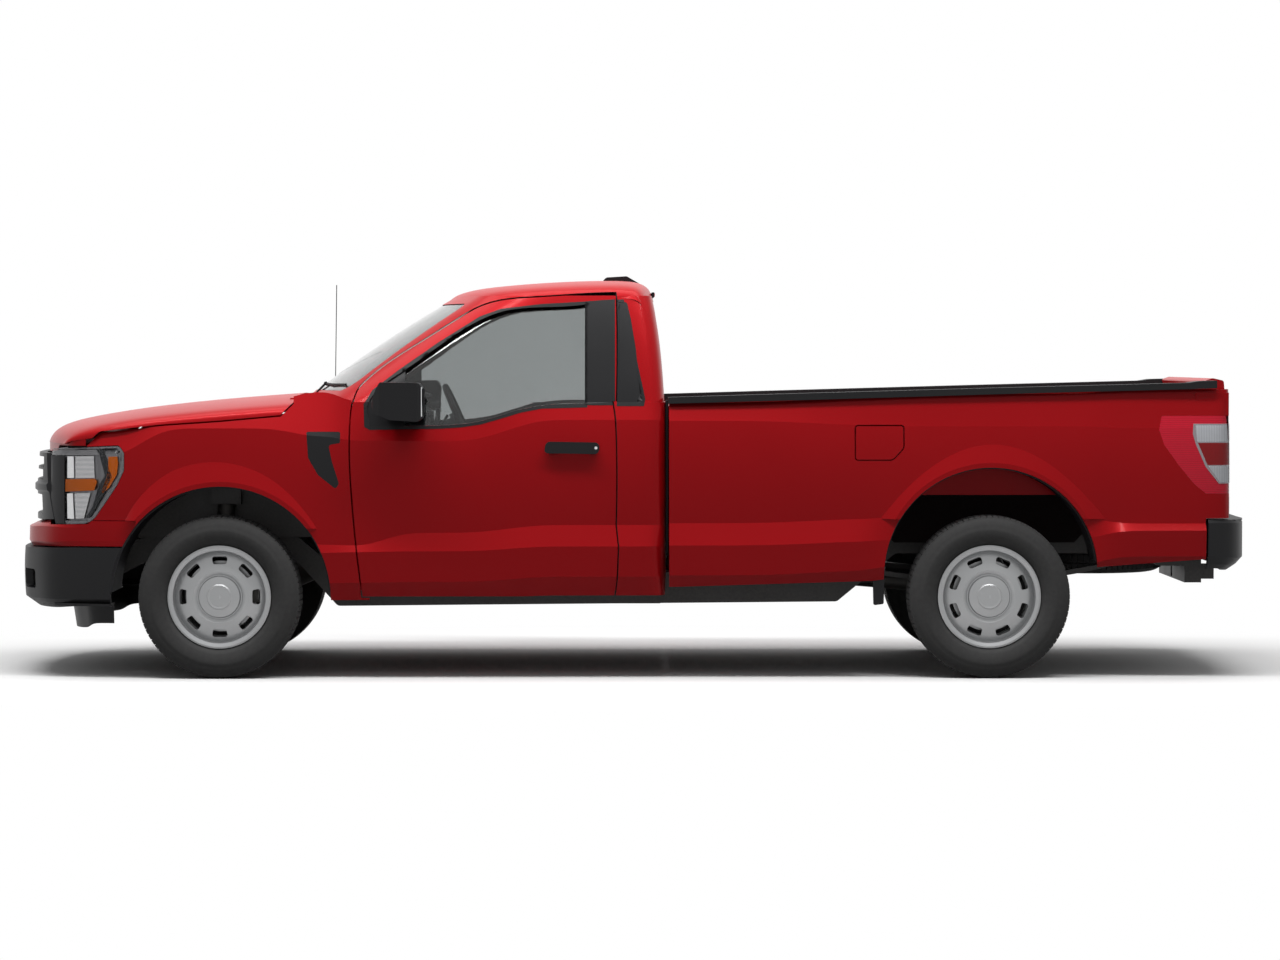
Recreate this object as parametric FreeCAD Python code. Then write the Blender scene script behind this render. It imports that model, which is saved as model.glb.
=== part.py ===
import FreeCAD, Part
import math
import os

# Full-size two-door pickup truck with a long load bed, in millimetres.
# The nose points to -X, the driver's side is -Y and +Z is up.
# Stations run along X from the front axle. Each node is moved when it is written, so that
# the origin lies on the ground under the middle of the whole truck.

Vector = FreeCAD.Vector

# Overall sizes
WHEELBASE = 3584.0
FRONT_OVERHANG = 1003.0
REAR_OVERHANG = 1243.0
TRACK = 1717.0
BODY_HALF = 986.0

# Wheels and brakes
TYRE_RADIUS = 380.0
TYRE_WIDTH = 245.0
RIM_RADIUS = 216.0
RIM_WIDTH = 178.0
SLOT_COUNT = 8
HUB_RADIUS = 27.0
BRAKE_RADIUS = 165.0
KINGPIN_INSET = 62.0
ROTOR_PLACE = (10.0, 28.0)

# Gaps and wall thicknesses
SHUT_GAP = 7.0
SEAT_GAP = 0.3
SKIN = 14.0
GLASS = 5.0
DOOR_DEPTH = 92.0
FRAME_DEPTH = 40.0
WALL_DEPTH = 46.0
ROOF_DEPTH = 28.0

# Doors
DOOR_REAR = 1845.0
DOOR_SILL = 384.0
DOOR_TAPER = 0.32
BELT = 1290.0

# Load bed
BED_FRONT = 2092.0
BED_REAR = 4706.0
BED_INNER_HALF = 828.0
BED_FLOOR = 850.0
BED_FLOOR_DEPTH = 22.0
BEAM_LOW = 750.0
BED_BEAMS = (2160.0, 2700.0, 3010.0, 4130.0, 4530.0)
WHEELHOUSE_HALF = 642.0
WHEELHOUSE_TOP = 1075.0
TAILGATE_HALF = 762.0
TAILGATE_DEPTH = 62.0

# Wheel arches: opening circle and flare circle, as radius and centre over the ground
FRONT_ARCH = (512.0, 8.0, 384.0)
FRONT_FLARE = (497.0, 17.0, 527.0)
REAR_ARCH = (497.0, WHEELBASE + 4, 486.0)
REAR_FLARE = (583.0, WHEELBASE + 14, 526.0)
FLARE_OUT = 29.0

# Frame and running gear
RAIL_HALF = 460.0
RAIL_WIDTH = 65.0
SHAFT_HEIGHT = 560.0
SPARE_X = 4130.0
SPARE_LOW = 455.0
DIFF_NOSE = 170.0
HITCH_BALL_X = 4740.0
HITCH_BALL_RADIUS = 16.0
RECEIVER = 50.8
PIN_RADIUS = 3.0
PIN_PLAY = 0.3
GATE_PIN = 8.0

# Cab floor
FIREWALL = 500.0
SILL_HALF = 838.0
CAB_FLOOR = (562.0, 590.0)
BACK_PANEL = (2052.0, 2078.0)
COWL_LOW = 1262.0
SAIL_EDGE = 862.0

# Hinge lines
DOOR_HINGE = (606.5, -(BODY_HALF + 5.0))
HOOD_HINGE = (344.0, 1300.0)
TAILGATE_HINGE = (4648.0, 838.0)
STEER_RANGE = 33.0

MIDDLE = (WHEELBASE + REAR_OVERHANG - FRONT_OVERHANG) / 2
AXLE = TYRE_RADIUS
WIDE = 2400.0


# Outlines: side view xz, front view yz and plan view xy
def at(plane, a, b, level):
    if plane == "xz":
        return Vector(a, level, b)
    if plane == "yz":
        return Vector(level, a, b)
    return Vector(a, b, level)


NORMAL = {"xz": Vector(0, 1, 0), "yz": Vector(1, 0, 0), "xy": Vector(0, 0, 1)}


def rounded_wire(points, plane, level=0.0):
    """A closed outline of straight runs. Each point is (a, b) or (a, b, corner radius)."""
    corners = [at(plane, p[0], p[1], level) for p in points]
    radii = [p[2] if len(p) > 2 else 0.0 for p in points]
    count = len(corners)
    entries, middles, exits = [], [], []
    for i, corner in enumerate(corners):
        back = (corners[i - 1] - corner).normalize()
        ahead = (corners[(i + 1) % count] - corner).normalize()
        angle = back.getAngle(ahead)
        if radii[i] <= 0:
            entries.append(corner)
            middles.append(None)
            exits.append(corner)
            continue
        reach = radii[i] / math.tan(angle / 2)
        depth = radii[i] / math.sin(angle / 2) - radii[i]
        entries.append(corner + back * reach)
        middles.append(corner + (back + ahead).normalize() * depth)
        exits.append(corner + ahead * reach)
    edges = []
    for i in range(count):
        if middles[i] is not None:
            edges.append(Part.Arc(entries[i], middles[i], exits[i]).toShape())
        start, end = exits[i], entries[(i + 1) % count]
        if (end - start).Length > 1e-6:
            edges.append(Part.LineSegment(start, end).toShape())
    return Part.Wire(edges)


def prism(points, plane, low, high):
    """The outline extruded straight from low to high."""
    face = Part.Face(rounded_wire(points, plane, low))
    return face.extrude(NORMAL[plane] * (high - low))


def curved_prism(runs, plane, low, high):
    """Like prism, from runs of points: two points make a line, more make a smooth curve."""
    edges = []
    for run in runs:
        points = [at(plane, p[0], p[1], low) for p in run]
        if len(points) == 2:
            edges.append(Part.LineSegment(points[0], points[1]).toShape())
        else:
            curve = Part.BSplineCurve()
            curve.interpolate(points)
            edges.append(curve.toShape())
    return Part.Face(Part.Wire(edges)).extrude(NORMAL[plane] * (high - low))


def box(x0, x1, y0, y1, z0, z1):
    return Part.makeBox(x1 - x0, y1 - y0, z1 - z0, Vector(x0, y0, z0))


def rod(start, end, radius):
    start, end = Vector(*start), Vector(*end)
    return Part.makeCylinder(radius, (end - start).Length, start, end - start)


def disc(x, y0, y1, z, radius):
    """A round piece whose axis is crosswise."""
    return Part.makeCylinder(radius, y1 - y0, Vector(x, y0, z), Vector(0, 1, 0))


def fuse(shapes):
    return shapes[0].fuse(shapes[1:]) if len(shapes) > 1 else shapes[0]


def mirrored(shape):
    return shape.mirror(Vector(0, 0, 0), Vector(0, 1, 0))


def both(shape):
    """The same piece on both sides, as two solids."""
    return Part.makeCompound([shape, mirrored(shape)])


def solids(shape):
    """The solids of a boolean's result, without slivers."""
    kept = [s for s in shape.Solids if s.Volume > 500]
    return kept[0] if len(kept) == 1 else Part.makeCompound(kept)


# Curved panels: a net of control points makes each smooth face. A panel is split into
# faces at its crisp lines, which are columns of the net.
def knots(count, degree):
    spans = count - degree
    return list(range(spans + 1)), [degree + 1] + [1] * (spans - 1) + [degree + 1]


def net_face(grid, row_degree=3, column_degree=2):
    du = min(row_degree, len(grid) - 1)
    dv = min(column_degree, len(grid[0]) - 1)
    ku, mu = knots(len(grid), du)
    kv, mv = knots(len(grid[0]), dv)
    surface = Part.BSplineSurface()
    surface.buildFromPolesMultsKnots(grid, mu, mv, ku, kv, False, False, du, dv)
    return surface.toShape()


def net_solid(outer, inner, crisp=(), row_degree=3, column_degree=2):
    """The closed solid between two nets, with crisp lines along the given columns."""
    faces = []
    stops = [0] + list(crisp) + [len(outer[0]) - 1]
    for a, b in zip(stops, stops[1:]):
        parts = [[row[a:b + 1] for row in grid] for grid in (outer, inner)]
        faces += [net_face(part, row_degree, column_degree) for part in parts]
        for i in (0, -1):
            faces.append(net_face([parts[0][i], parts[1][i]], 1, column_degree))
    for i in (0, -1):
        faces.append(net_face([[r[i] for r in outer], [r[i] for r in inner]], 1, row_degree))
    shell = Part.makeShell(faces)
    shell.sewShape()
    solid = Part.makeSolid(shell)
    if solid.Volume < 0:
        solid.reverse()
    return solid


def plan_normals(path):
    """The outward direction in plan at each point of a path from the nose to the tail."""
    normals = []
    for i in range(len(path)):
        a, b = path[max(i - 1, 0)], path[min(i + 1, len(path) - 1)]
        tangent = Vector(b[0] - a[0], b[1] - a[1], 0).normalize()
        normals.append(Vector(tangent.y, -tangent.x, 0))
    return normals


def band_grid(stations, sections, inset):
    """Sections (outward, height) set along a plan path (station, half width, section)."""
    path = [(s[0], -s[1]) for s in stations]
    grid = []
    for (x, y), normal, station in zip(path, plan_normals(path), stations):
        grid.append([Vector(x, y, z) + normal * (out - inset) for out, z in sections[station[2]]])
    return grid


def band(stations, sections, outer, inner, crisp=()):
    """A wall that follows a plan path, between two insets from its outer face."""
    return net_solid(band_grid(stations, sections, outer), band_grid(stations, sections, inner), crisp)


def between(stations, low, high):
    return [s for s in stations if low <= s[0] <= high]


# Body side from the lamps to the back of the cab, as sections from sill to belt:
# tuck, lower line, ledge, crease above the ledge, crown, shoulder, belt
SIDE_CRISP = (1, 2, 3, 5)
SIDE_SECTIONS = {
    "lamp": [(0, 560), (0, 600), (0, 650), (0, 720), (2, 880), (-6, 1040), (-52, 1150)],
    "arch": [(-20, 366), (0, 450), (2, 590), (3, 680), (12, 940), (-18, 1165), (-86, 1290)],
    "fender": [(-24, 366), (10, 447), (25, 588), (10, 626), (16, 900), (-12, 1128), (-112, 1334)],
    "door front": [(-24, 367), (11, 449), (26, 592), (8, 622), (16, 900), (-4, 1108), (-52, BELT)],
    "door ramp": [(-24, 371), (11, 453), (26, 596), (-6, 680), (18, 930), (-5, 1106), (-52, BELT)],
    "door middle": [(-24, 377), (11, 461), (26, 604), (-8, 695), (18, 950), (-6, 1148), (-52, BELT)],
    "door rear": [(-24, 388), (11, 477), (26, 618), (-8, 716), (18, 980), (-16, 1204), (-52, BELT)],
    "cab corner": [(-14, 388), (4, 477), (8, 618), (-2, 716), (8, 980), (-10, 1204), (-34, BELT)],
    "cab back": [(-4, 388), (0, 477), (0, 618), (0, 716), (0, 980), (-2, 1204), (-4, BELT)],
}
SIDE_STATIONS = [
    (-905, 470, "lamp"), (-886, 580, "lamp"), (-842, 720, "lamp"), (-775, 828, "lamp"), (-680, 902, "lamp"),
    (-565, 942, "lamp"), (-430, 962, "lamp"), (-270, 976, "arch"), (-90, 983, "arch"), (90, 986, "arch"),
    (270, 986, "arch"), (410, 986, "fender"), (520, 986, "fender"), (600, 986, "door front"),
    (700, 986, "door front"), (850, 986, "door ramp"), (1000, 986, "door ramp"), (1180, 986, "door ramp"),
    (1320, 986, "door middle"), (1480, 986, "door rear"), (1640, 986, "door rear"), (1840, 985, "door rear"),
    (1940, 984, "door rear"), (2006, 980, "door rear"), (2054, 964, "cab corner"), (2076, 928, "cab back"),
    (2078, 880, "cab back"), (2078, 800, "cab back"),
]
# The nose in plan, from the middle to the front wheel arch
NOSE_STATIONS = [
    (-925, 0, "nose"), (-924, 170, "nose"), (-913, 390, "nose"), (-886, 580, "nose"), (-842, 720, "turn"),
    (-775, 828, "turn"), (-680, 902, "side"), (-565, 942, "side"), (-470, 958, "side"), (-380, 968, "side"),
]
CAP_SECTIONS = {
    "nose": [(28, 604), (44, 628), (42, 694), (-46, 736)],
    "turn": [(14, 612), (22, 632), (16, 704), (-16, 736)],
    "side": [(0, 616), (2, 640), (2, 700), (0, 760)],
}
BUMPER_SECTIONS = {
    "nose": [(20, 602), (64, 598), (72, 480), (62, 366), (0, 322)],
    "turn": [(6, 606), (40, 603), (48, 480), (38, 366), (-10, 324)],
    "side": [(-8, 611), (6, 608), (14, 480), (4, 370), (-20, 336)],
}
GRILLE_CRISP = (1, 2, 3, 4)
GRILLE_SECTIONS = {
    "nose": [(4, 733), (4, 862), (16, 872), (16, 898), (4, 908), (-6, 1048)],
    "turn": [(2, 733), (2, 862), (10, 872), (10, 898), (2, 908), (-8, 1048)],
    "side": [(0, 733), (0, 862), (0, 872), (0, 898), (0, 908), (0, 1048)],
}
SKIRT_SECTIONS = {
    "nose": [(-160, 334), (-178, 218)],
    "turn": [(-160, 334), (-178, 222)],
    "side": [(-120, 338), (-136, 250)],
}

# Bed side from the cab to the rear corner, with the same lines as the body side
BED_SECTIONS = {
    "front": [(-24, 428), (11, 483), (26, 622), (-8, 724), (18, 980), (-13, 1200), (-50, 1284)],
    "ahead": [(-24, 444), (11, 502), (26, 638), (-8, 742), (18, 980), (-13, 1182), (-50, 1308)],
    "wheel": [(-24, 470), (3, 530), (4, 650), (2, 752), (16, 980), (-13, 1174), (-50, 1324)],
    "rear": [(-24, 520), (11, 570), (26, 690), (-6, 722), (12, 970), (-13, 1166), (-50, 1346)],
    "corner": [(-14, 520), (4, 570), (10, 690), (-2, 722), (6, 970), (-8, 1166), (-24, 1346)],
    "tail": [(-4, 520), (0, 570), (0, 690), (0, 722), (0, 970), (-2, 1166), (-6, 1346)],
}
BED_STATIONS = [
    (BED_FRONT, 986, "front"), (2300, 986, "front"), (2600, 986, "front"), (2860, 986, "ahead"),
    (2990, 986, "ahead"), (3110, 986, "wheel"), (3350, 986, "wheel"), (3600, 986, "wheel"),
    (3850, 986, "wheel"), (4060, 986, "wheel"), (4160, 985, "rear"), (4350, 983, "rear"), (4520, 980, "rear"),
    (4630, 976, "rear"), (4684, 962, "corner"), (4708, 924, "tail"), (4712, 860, "tail"), (4712, 790, "tail"),
]


def body_side(outer, inner, low=-1000, high=2100):
    return band(between(SIDE_STATIONS, low, high), SIDE_SECTIONS, outer, inner, SIDE_CRISP)


def bed_side(outer, inner, low=2000, high=4800):
    return band(between(BED_STATIONS, low, high), BED_SECTIONS, outer, inner, SIDE_CRISP)


# Glasshouse: rows from the middle of the windshield round to the middle of the back wall,
# each as (x, y) at four heights
HOUSE_HEIGHTS = (1286.0, 1460.0, 1630.0, 1784.0)
HOUSE_ROWS = [
    ((326, 0), (541, 0), (790, 0), (1064, 0)),
    ((348, -270), (563, -262), (811, -252), (1084, -240)),
    ((408, -530), (620, -508), (868, -480), (1136, -440)),
    ((472, -710), (690, -676), (934, -634), (1186, -578)),
    ((512, -800), (740, -760), (978, -708), (1208, -640)),
    ((590, -868), (812, -818), (1042, -762), (1262, -692)),
    ((720, -916), (912, -866), (1130, -803), (1372, -728)),
    ((900, -932), (1060, -880), (1250, -816), (1480, -742)),
    ((1200, -935), (1300, -882), (1430, -818), (1600, -745)),
    ((1560, -935), (1620, -882), (1690, -818), (1760, -745)),
    ((1860, -933), (1860, -880), (1860, -816), (1860, -743)),
    ((1990, -928), (1978, -874), (1965, -808), (1945, -734)),
    ((2050, -905), (2040, -850), (2024, -782), (1996, -704)),
    ((2072, -850), (2062, -796), (2046, -730), (2012, -650)),
    ((2074, -700), (2066, -660), (2051, -600), (2016, -530)),
    ((2074, -320), (2068, -300), (2053, -280), (2018, -250)),
    ((2074, 0), (2068, 0), (2053, 0), (2018, 0)),
]


def house_grid(inset):
    """The glasshouse moved in along its own normal, one side of the truck."""
    count = len(HOUSE_ROWS)
    points = [[Vector(p[0], p[1], z) for p, z in zip(row, HOUSE_HEIGHTS)] for row in HOUSE_ROWS]
    grid = []
    for i in range(count):
        row = []
        for j in range(len(HOUSE_HEIGHTS)):
            along_row = points[min(i + 1, count - 1)][j] - points[max(i - 1, 0)][j]
            if i in (0, count - 1):
                along_row.x = 0
            last = len(HOUSE_HEIGHTS) - 1
            upward = points[i][min(j + 1, last)] - points[i][max(j - 1, 0)]
            normal = upward.cross(along_row).normalize()
            move = normal * inset
            slope = max(math.hypot(normal.x, normal.y), 0.5)
            flat = Vector(normal.x, normal.y, 0).normalize() * (inset / slope)
            point = points[i][j] + (flat if j in (0, last) else move)
            if i in (0, count - 1):
                point.y = 0
            row.append(point)
        grid.append(row)
    return grid


def house_wall(outer, inner):
    """The glasshouse wall of the driver's side, between two insets."""
    return net_solid(house_grid(outer), house_grid(inner), (), 3, 3)


# Roof: middle line, with the drop and the setback towards the side
ROOF_LINE = [(1040, 1768), (1056, 1786), (1094, 1805), (1180, 1826), (1300, 1840), (1480, 1855), (1680, 1865),
             (1850, 1867), (1935, 1862), (1990, 1846), (2020, 1812), (2030, 1764)]
ROOF_ACROSS = [(0, 0), (330, 4), (590, 20), (690, 40), (728, 62), (746, 92)]


def roof_grid(inset):
    grid = []
    for x, z in ROOF_LINE:
        front_share = max(0.0, (1480 - x) / 440.0)
        rear_share = max(0.0, (x - 1900) / 130.0)
        row = []
        for y, drop in ROOF_ACROSS:
            share = (y / 746.0) ** 2
            back = 165 * share * front_share - 45 * share * rear_share
            narrow = 96 * share * front_share
            row.append(Vector(x + back, -(y - narrow), z - drop * (1 - 0.35 * front_share)))
        grid.append(row)
    if inset == 0:
        return grid
    lowered = []
    for i, row in enumerate(grid):
        moved = []
        for j, p in enumerate(row):
            a, b = grid[max(i - 1, 0)][j], grid[min(i + 1, len(grid) - 1)][j]
            c, d = row[max(j - 1, 0)], row[min(j + 1, len(row) - 1)]
            normal = (b - a).cross(d - c).normalize()
            if normal.z > 0:
                normal = normal * -1
            q = p + normal * inset
            if j == 0:
                q.y = 0
            moved.append(q)
        lowered.append(moved)
    return lowered


def roof_skin():
    return net_solid(roof_grid(0), roof_grid(ROOF_DEPTH), (), 3, 3)


# Hood: middle line and side line, with the crown between them
HOOD_REAR = HOOD_HINGE[0] - 7.0
HOOD_ROWS = [
    # middle (x, z), side (x, half width, z)
    ((-903, 1062), (-752, 812, 1050)), ((-902, 1084), (-750, 816, 1066)), ((-893, 1122), (-740, 836, 1086)),
    ((-840, 1168), (-712, 872, 1102)), ((-740, 1199), (-650, 900, 1112)), ((-560, 1232), (-530, 927, 1126)),
    ((-350, 1262), (-350, 939, 1150)), ((-116, 1287), (-116, 945, 1170)), ((110, 1306), (110, 946, 1186)),
    ((270, 1318), (270, 942, 1200)), ((HOOD_REAR + 40, 1325), (HOOD_REAR + 40, 932, 1216)),
]
HOOD_DEPTH = 26.0


def hood_grid(inset):
    grid = []
    for (x, z), (side_x, half, side_z) in HOOD_ROWS:
        shoulder = z - 34 - (z - side_z) * 0.12
        profile = [(1.0, side_z, 1.0), (0.997, side_z + 0.5 * (shoulder - side_z), 1.0),
                   (0.972, shoulder - 6, 0.97), (0.90, shoulder + 10, 0.85), (0.66, z - 12, 0.44),
                   (0.34, z - 3, 0.12), (0.0, z, 0.0)]
        row = [Vector(x + (side_x - x) * back, -half * wide, height) for wide, height, back in profile]
        grid.append(row)
    if inset == 0:
        return grid
    moved_grid = []
    for i, row in enumerate(grid):
        moved = []
        for j, p in enumerate(row):
            a, b = grid[max(i - 1, 0)][j], grid[min(i + 1, len(grid) - 1)][j]
            c, d = row[max(j - 1, 0)], row[min(j + 1, len(row) - 1)]
            normal = (b - a).cross(d - c).normalize()
            if normal.z > 0 or (abs(normal.z) < 0.05 and normal.y < 0):
                normal = normal * -1
            q = p + normal * inset
            if j == len(row) - 1:
                q.y = 0
            moved.append(q)
        moved_grid.append(moved)
    return moved_grid


def hood_skin(outer, inner):
    return net_solid(hood_grid(outer), hood_grid(inner), (), 3, 3)


# Shut lines in the side view
DOOR_FRONT_LINE = [(640, 1340), (622, 1282), (613, 1200), (611, 1111), (612, 1018), (618, 900), (627, 780),
                   (644, 601), (658, 485), (668, DOOR_SILL)]
DOOR_TOP_LINE = [(651, 1356), (743, 1440), (928, 1562), (1113, 1679), (1207, 1731), (1300, 1759), (1488, 1776),
                 (1700, 1790), (1900, 1795)]
WINDOW_LINE = [(1700, 1742), (1490, 1729), (1310, 1708), (1215, 1672), (1026, 1553), (840, 1422), (722, 1330),
               (690, 1272), (700, 1200)]
DAYLIGHT_BELT = [(700, 1172), (1030, 1178), (1120, 1184), (1213, 1197), (1306, 1224), (1400, 1252), (1500, 1270),
                 (1700, 1277)]
HOOD_SIDE_LINE = [(-620, 1091), (-572, 1138), (-555, 1150), (-274, 1182), (5, 1201), (285, 1226),
                  (HOOD_REAR + 6, 1282)]
LAMP_OUTLINE = [(-800, 1068, 8), (-465, 1083, 22), (-441, 1050, 20), (-441, 971, 20), (-473, 902, 30),
                (-530, 818, 30), (-577, 752, 20), (-612, 722, 10), (-800, 716)]
CORNER_GLASS = [(1863, 1752, 6), (1897, 1754, 14), (1916, 1670, 30), (1939, 1529, 40), (1957, 1319, 30),
                (1938, 1282, 16), (1863, 1270, 6)]
VENT_OUTLINE = [(408, 1149, 8), (565, 1149, 8), (565, 1097, 8), (510, 1088, 14), (528, 1009, 20), (560, 910, 16),
                (545, 884, 10), (463, 949, 20), (417, 1028, 20)]
LAMP_REAR_OUTLINE = [(4760, 1223), (4382, 1223, 10), (4369, 1158, 20), (4392, 1088, 30), (4461, 991, 40),
                     (4531, 907, 40), (4587, 861, 16), (4760, 860)]
FUEL_DOOR_OUTLINE = [(2953, 1014, 16), (3132, 1014, 40), (3185, 1072, 40), (3185, 1181, 16), (2953, 1181, 16)]


def grown(points, gap):
    """An outline moved outward by a gap, with its corner radii kept round."""
    count = len(points)
    area = sum(points[i - 1][0] * points[i][1] - points[i][0] * points[i - 1][1] for i in range(count))
    turn = 1 if area > 0 else -1
    result = []
    for i, p in enumerate(points):
        a, b = points[i - 1], points[(i + 1) % count]
        u = Vector(p[0] - a[0], p[1] - a[1], 0).normalize()
        v = Vector(b[0] - p[0], b[1] - p[1], 0).normalize()
        nu, nv = Vector(u.y, -u.x, 0) * turn, Vector(v.y, -v.x, 0) * turn
        out = (nu + nv) * (gap / (1 + nu.dot(nv)))
        radius = p[2] if len(p) > 2 else 0
        result.append((p[0] + out.x, p[1] + out.y, max(radius + gap, 0.0)) if radius else
                      (p[0] + out.x, p[1] + out.y))
    return result


def moved_line(points, gap):
    """An open line moved to its left by a gap."""
    result = []
    for i, p in enumerate(points):
        a, b = points[max(i - 1, 0)], points[min(i + 1, len(points) - 1)]
        u = Vector(b[0] - a[0], b[1] - a[1], 0).normalize()
        result.append((p[0] - u.y * gap, p[1] + u.x * gap))
    return result


def door_prism(gap, low, high):
    """The door in the side view, open to the rear, where the slanted face closes it."""
    front = moved_line(DOOR_FRONT_LINE, -gap)
    front[-1] = (front[-1][0], DOOR_SILL - gap)
    top = moved_line(DOOR_TOP_LINE, gap)
    runs = [front, [front[-1], (1980, DOOR_SILL - gap)], [(1980, DOOR_SILL - gap), (1980, top[-1][1])],
            [(1980, top[-1][1]), top[-1]], top[::-1], [top[0], front[0]]]
    return curved_prism(runs, "xz", low, high)


def behind_door(gap):
    """What lies behind the slanted rear faces of the door, below and above the belt."""
    edge = DOOR_REAR + gap
    pieces = []
    belt_y = HOUSE_ROWS[10][0][1]
    rail_y = HOUSE_ROWS[10][3][1]
    lean = Vector(0, rail_y - belt_y, HOUSE_HEIGHTS[3] - HOUSE_HEIGHTS[0])
    for y, low, sweep in ((-BODY_HALF, DOOR_SILL - 60, Vector(0, 0, BELT - DOOR_SILL + 60)),
                          (belt_y, BELT, lean * 1.05)):
        corners = [(edge + DOOR_TAPER * 70, y - 70), (edge - DOOR_TAPER * 190, y + 190), (2300, y + 190),
                   (2300, y - 70)]
        wire = rounded_wire(corners, "xy", low)
        pieces.append(Part.Face(wire).extrude(sweep))
    return fuse(pieces)


# Wheel arches
def arch_cut(arch, low, high, grow=0.0):
    radius, x, z = arch
    cut = disc(x, low, high, z, radius + grow)
    below = box(x - radius - grow, x + radius + grow, low, high, z - 400, z)
    return cut.fuse(below)


def flare(arch, flare_circle, foot):
    """The wheel arch lip: a skewed cone from the flare circle on the skin to the opening."""
    radius, x, z = flare_circle
    open_radius, open_x, open_z = arch
    skin_y = -(BODY_HALF - 8)
    rings = []
    for r, cx, cz, y in ((radius, x, z, skin_y), (open_radius + 16, open_x, open_z + 6, skin_y - FLARE_OUT)):
        circle = Part.Circle(Vector(cx, y, cz), Vector(0, 1, 0), r)
        rings.append(Part.Wire(circle.toShape()))
    solid = Part.makeLoft(rings, True, True)
    solid = solid.cut(arch_cut(arch, -WIDE, 0))
    solid = solid.cut(box(x - WIDE, x + WIDE, -WIDE, 0, -200, foot))
    return solid


def hood_side_prism(gap, above, low, high):
    """Everything above (or below) the side shut line of the hood."""
    line = moved_line(HOOD_SIDE_LINE, gap)
    front, rear = -1100.0, HOOD_REAR - gap
    level = 1700 if above else 200
    edge = [(front, line[0][1])] + line
    edge[-1] = (rear, line[-1][1])
    tail = [(rear, level)] if above else [(rear, 1345), (700, 1345), (700, level)]
    return prism(edge + tail + [(front, level)], "xz", low, high)


# Front end
def make_fenders():
    skin = body_side(0, SKIN, -1000, 1200)
    lip = flare(FRONT_ARCH, FRONT_FLARE, 700).common(body_side(-60, 30, -1000, 1200))
    skin = skin.common(hood_side_prism(-SHUT_GAP, False, -WIDE, 0))
    ahead = prism([(-1100, 100), (-380, 100), (-380, 737), (-618, 737), (-618, 1400), (-1100, 1400)], "xz", -WIDE, 0)
    behind = box(900, 2300, -WIDE, 0, 0, 2000)
    top = box(560, 900, -WIDE, 0, 1336, 2000)
    pocket = body_side(-2, 8, -1000, 1200).common(prism(grown(VENT_OUTLINE, SEAT_GAP), "xz", -WIDE, 0))
    skin = skin.fuse(lip)
    cutters = [prism(grown(LAMP_OUTLINE, 3), "xz", -WIDE, 0), ahead, arch_cut(FRONT_ARCH, -WIDE, 0),
               door_prism(SHUT_GAP, -WIDE, 0), behind, top, pocket]
    return both(solids(skin.cut(cutters)))


def make_side_trims():
    """Black pieces of the body side: fender vent, corner panel behind the door, stone guard."""
    vent = body_side(0.5, 8 - SEAT_GAP, -1000, 1200).common(prism(VENT_OUTLINE, "xz", -WIDE, 0))
    corner = house_wall(0.5, 8 - SEAT_GAP).common(prism(CORNER_GLASS, "xz", -WIDE, 0))
    guard = prism([(3044, 340, 8), (3092, 346, 8), (3096, 520), (3040, 520)], "xz", -942 + SEAT_GAP, -926)
    pieces = [solids(vent), solids(corner), guard]
    return Part.makeCompound(pieces + [mirrored(p) for p in pieces])


def make_hood():
    skin = hood_skin(0, HOOD_DEPTH)
    trim = hood_side_prism(0, True, -WIDE, 10)
    half = skin.common(trim)
    x, z = HOOD_HINGE
    lug = box(HOOD_REAR - 24, x + 4, -698, -686, z - 6, z + 4).cut(
        rod((x, -700, z), (x, -680, z), PIN_RADIUS + PIN_PLAY))
    half = half.fuse(lug)
    return solids(half.fuse(mirrored(half)))


def nose_band(sections, outer, inner):
    crisp = {id(CAP_SECTIONS): (1, 2), id(BUMPER_SECTIONS): (1, 3), id(GRILLE_SECTIONS): GRILLE_CRISP}.get(id(sections), ())
    return band(NOSE_STATIONS, sections, outer, inner, crisp)


def whole(half):
    return solids(half.fuse(mirrored(half)))


def make_fascia():
    half = nose_band(CAP_SECTIONS, 0, 30)
    lamp = prism(grown(LAMP_OUTLINE, 3), "xz", -WIDE, 0)
    cutters = [box(-800, 0, -WIDE, 0, 734, 1200), box(-380 - SEAT_GAP, 0, -WIDE, 0, 500, 800),
               arch_cut(FRONT_ARCH, -WIDE, 0), lamp]
    return whole(half.cut(cutters))


def plan_shelf(stations, outer, inner, low, high):
    """A flat shelf that follows a plan path between two distances from it."""
    path = [(s[0], -s[1]) for s in stations]
    outward = plan_normals(path)
    line = [(x + n.x * outer, y + n.y * outer) for (x, y), n in zip(path, outward)]
    back = [(x + n.x * inner, y + n.y * inner) for (x, y), n in zip(path, outward)]
    return prism(line + back[::-1], "xy", low, high)


def make_bumper():
    """Bumper cover with its lower skirt, the plate holder and the recesses in its face."""
    half = nose_band(BUMPER_SECTIONS, 0, 34)
    arch = arch_cut(FRONT_ARCH, -WIDE, 0)
    skirt = nose_band(SKIRT_SECTIONS, 0, 10)
    shelf = plan_shelf(NOSE_STATIONS[:-1], 6, -176, 338, 348)
    plate = box(-1003, -960, -160, 1, 370, 526)
    fog = prism([(-730, 410, 20), (-560, 410, 20), (-560, 500, 20), (-730, 500, 20)], "yz", -1100, -700)
    mouth = prism([(-500, 396, 24), (-240, 396, 24), (-240, 470, 24), (-500, 470, 24)], "yz", -1100, -860)
    half = half.fuse([skirt, shelf, plate]).cut([arch, fog, mouth])
    return whole(half)


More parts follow.
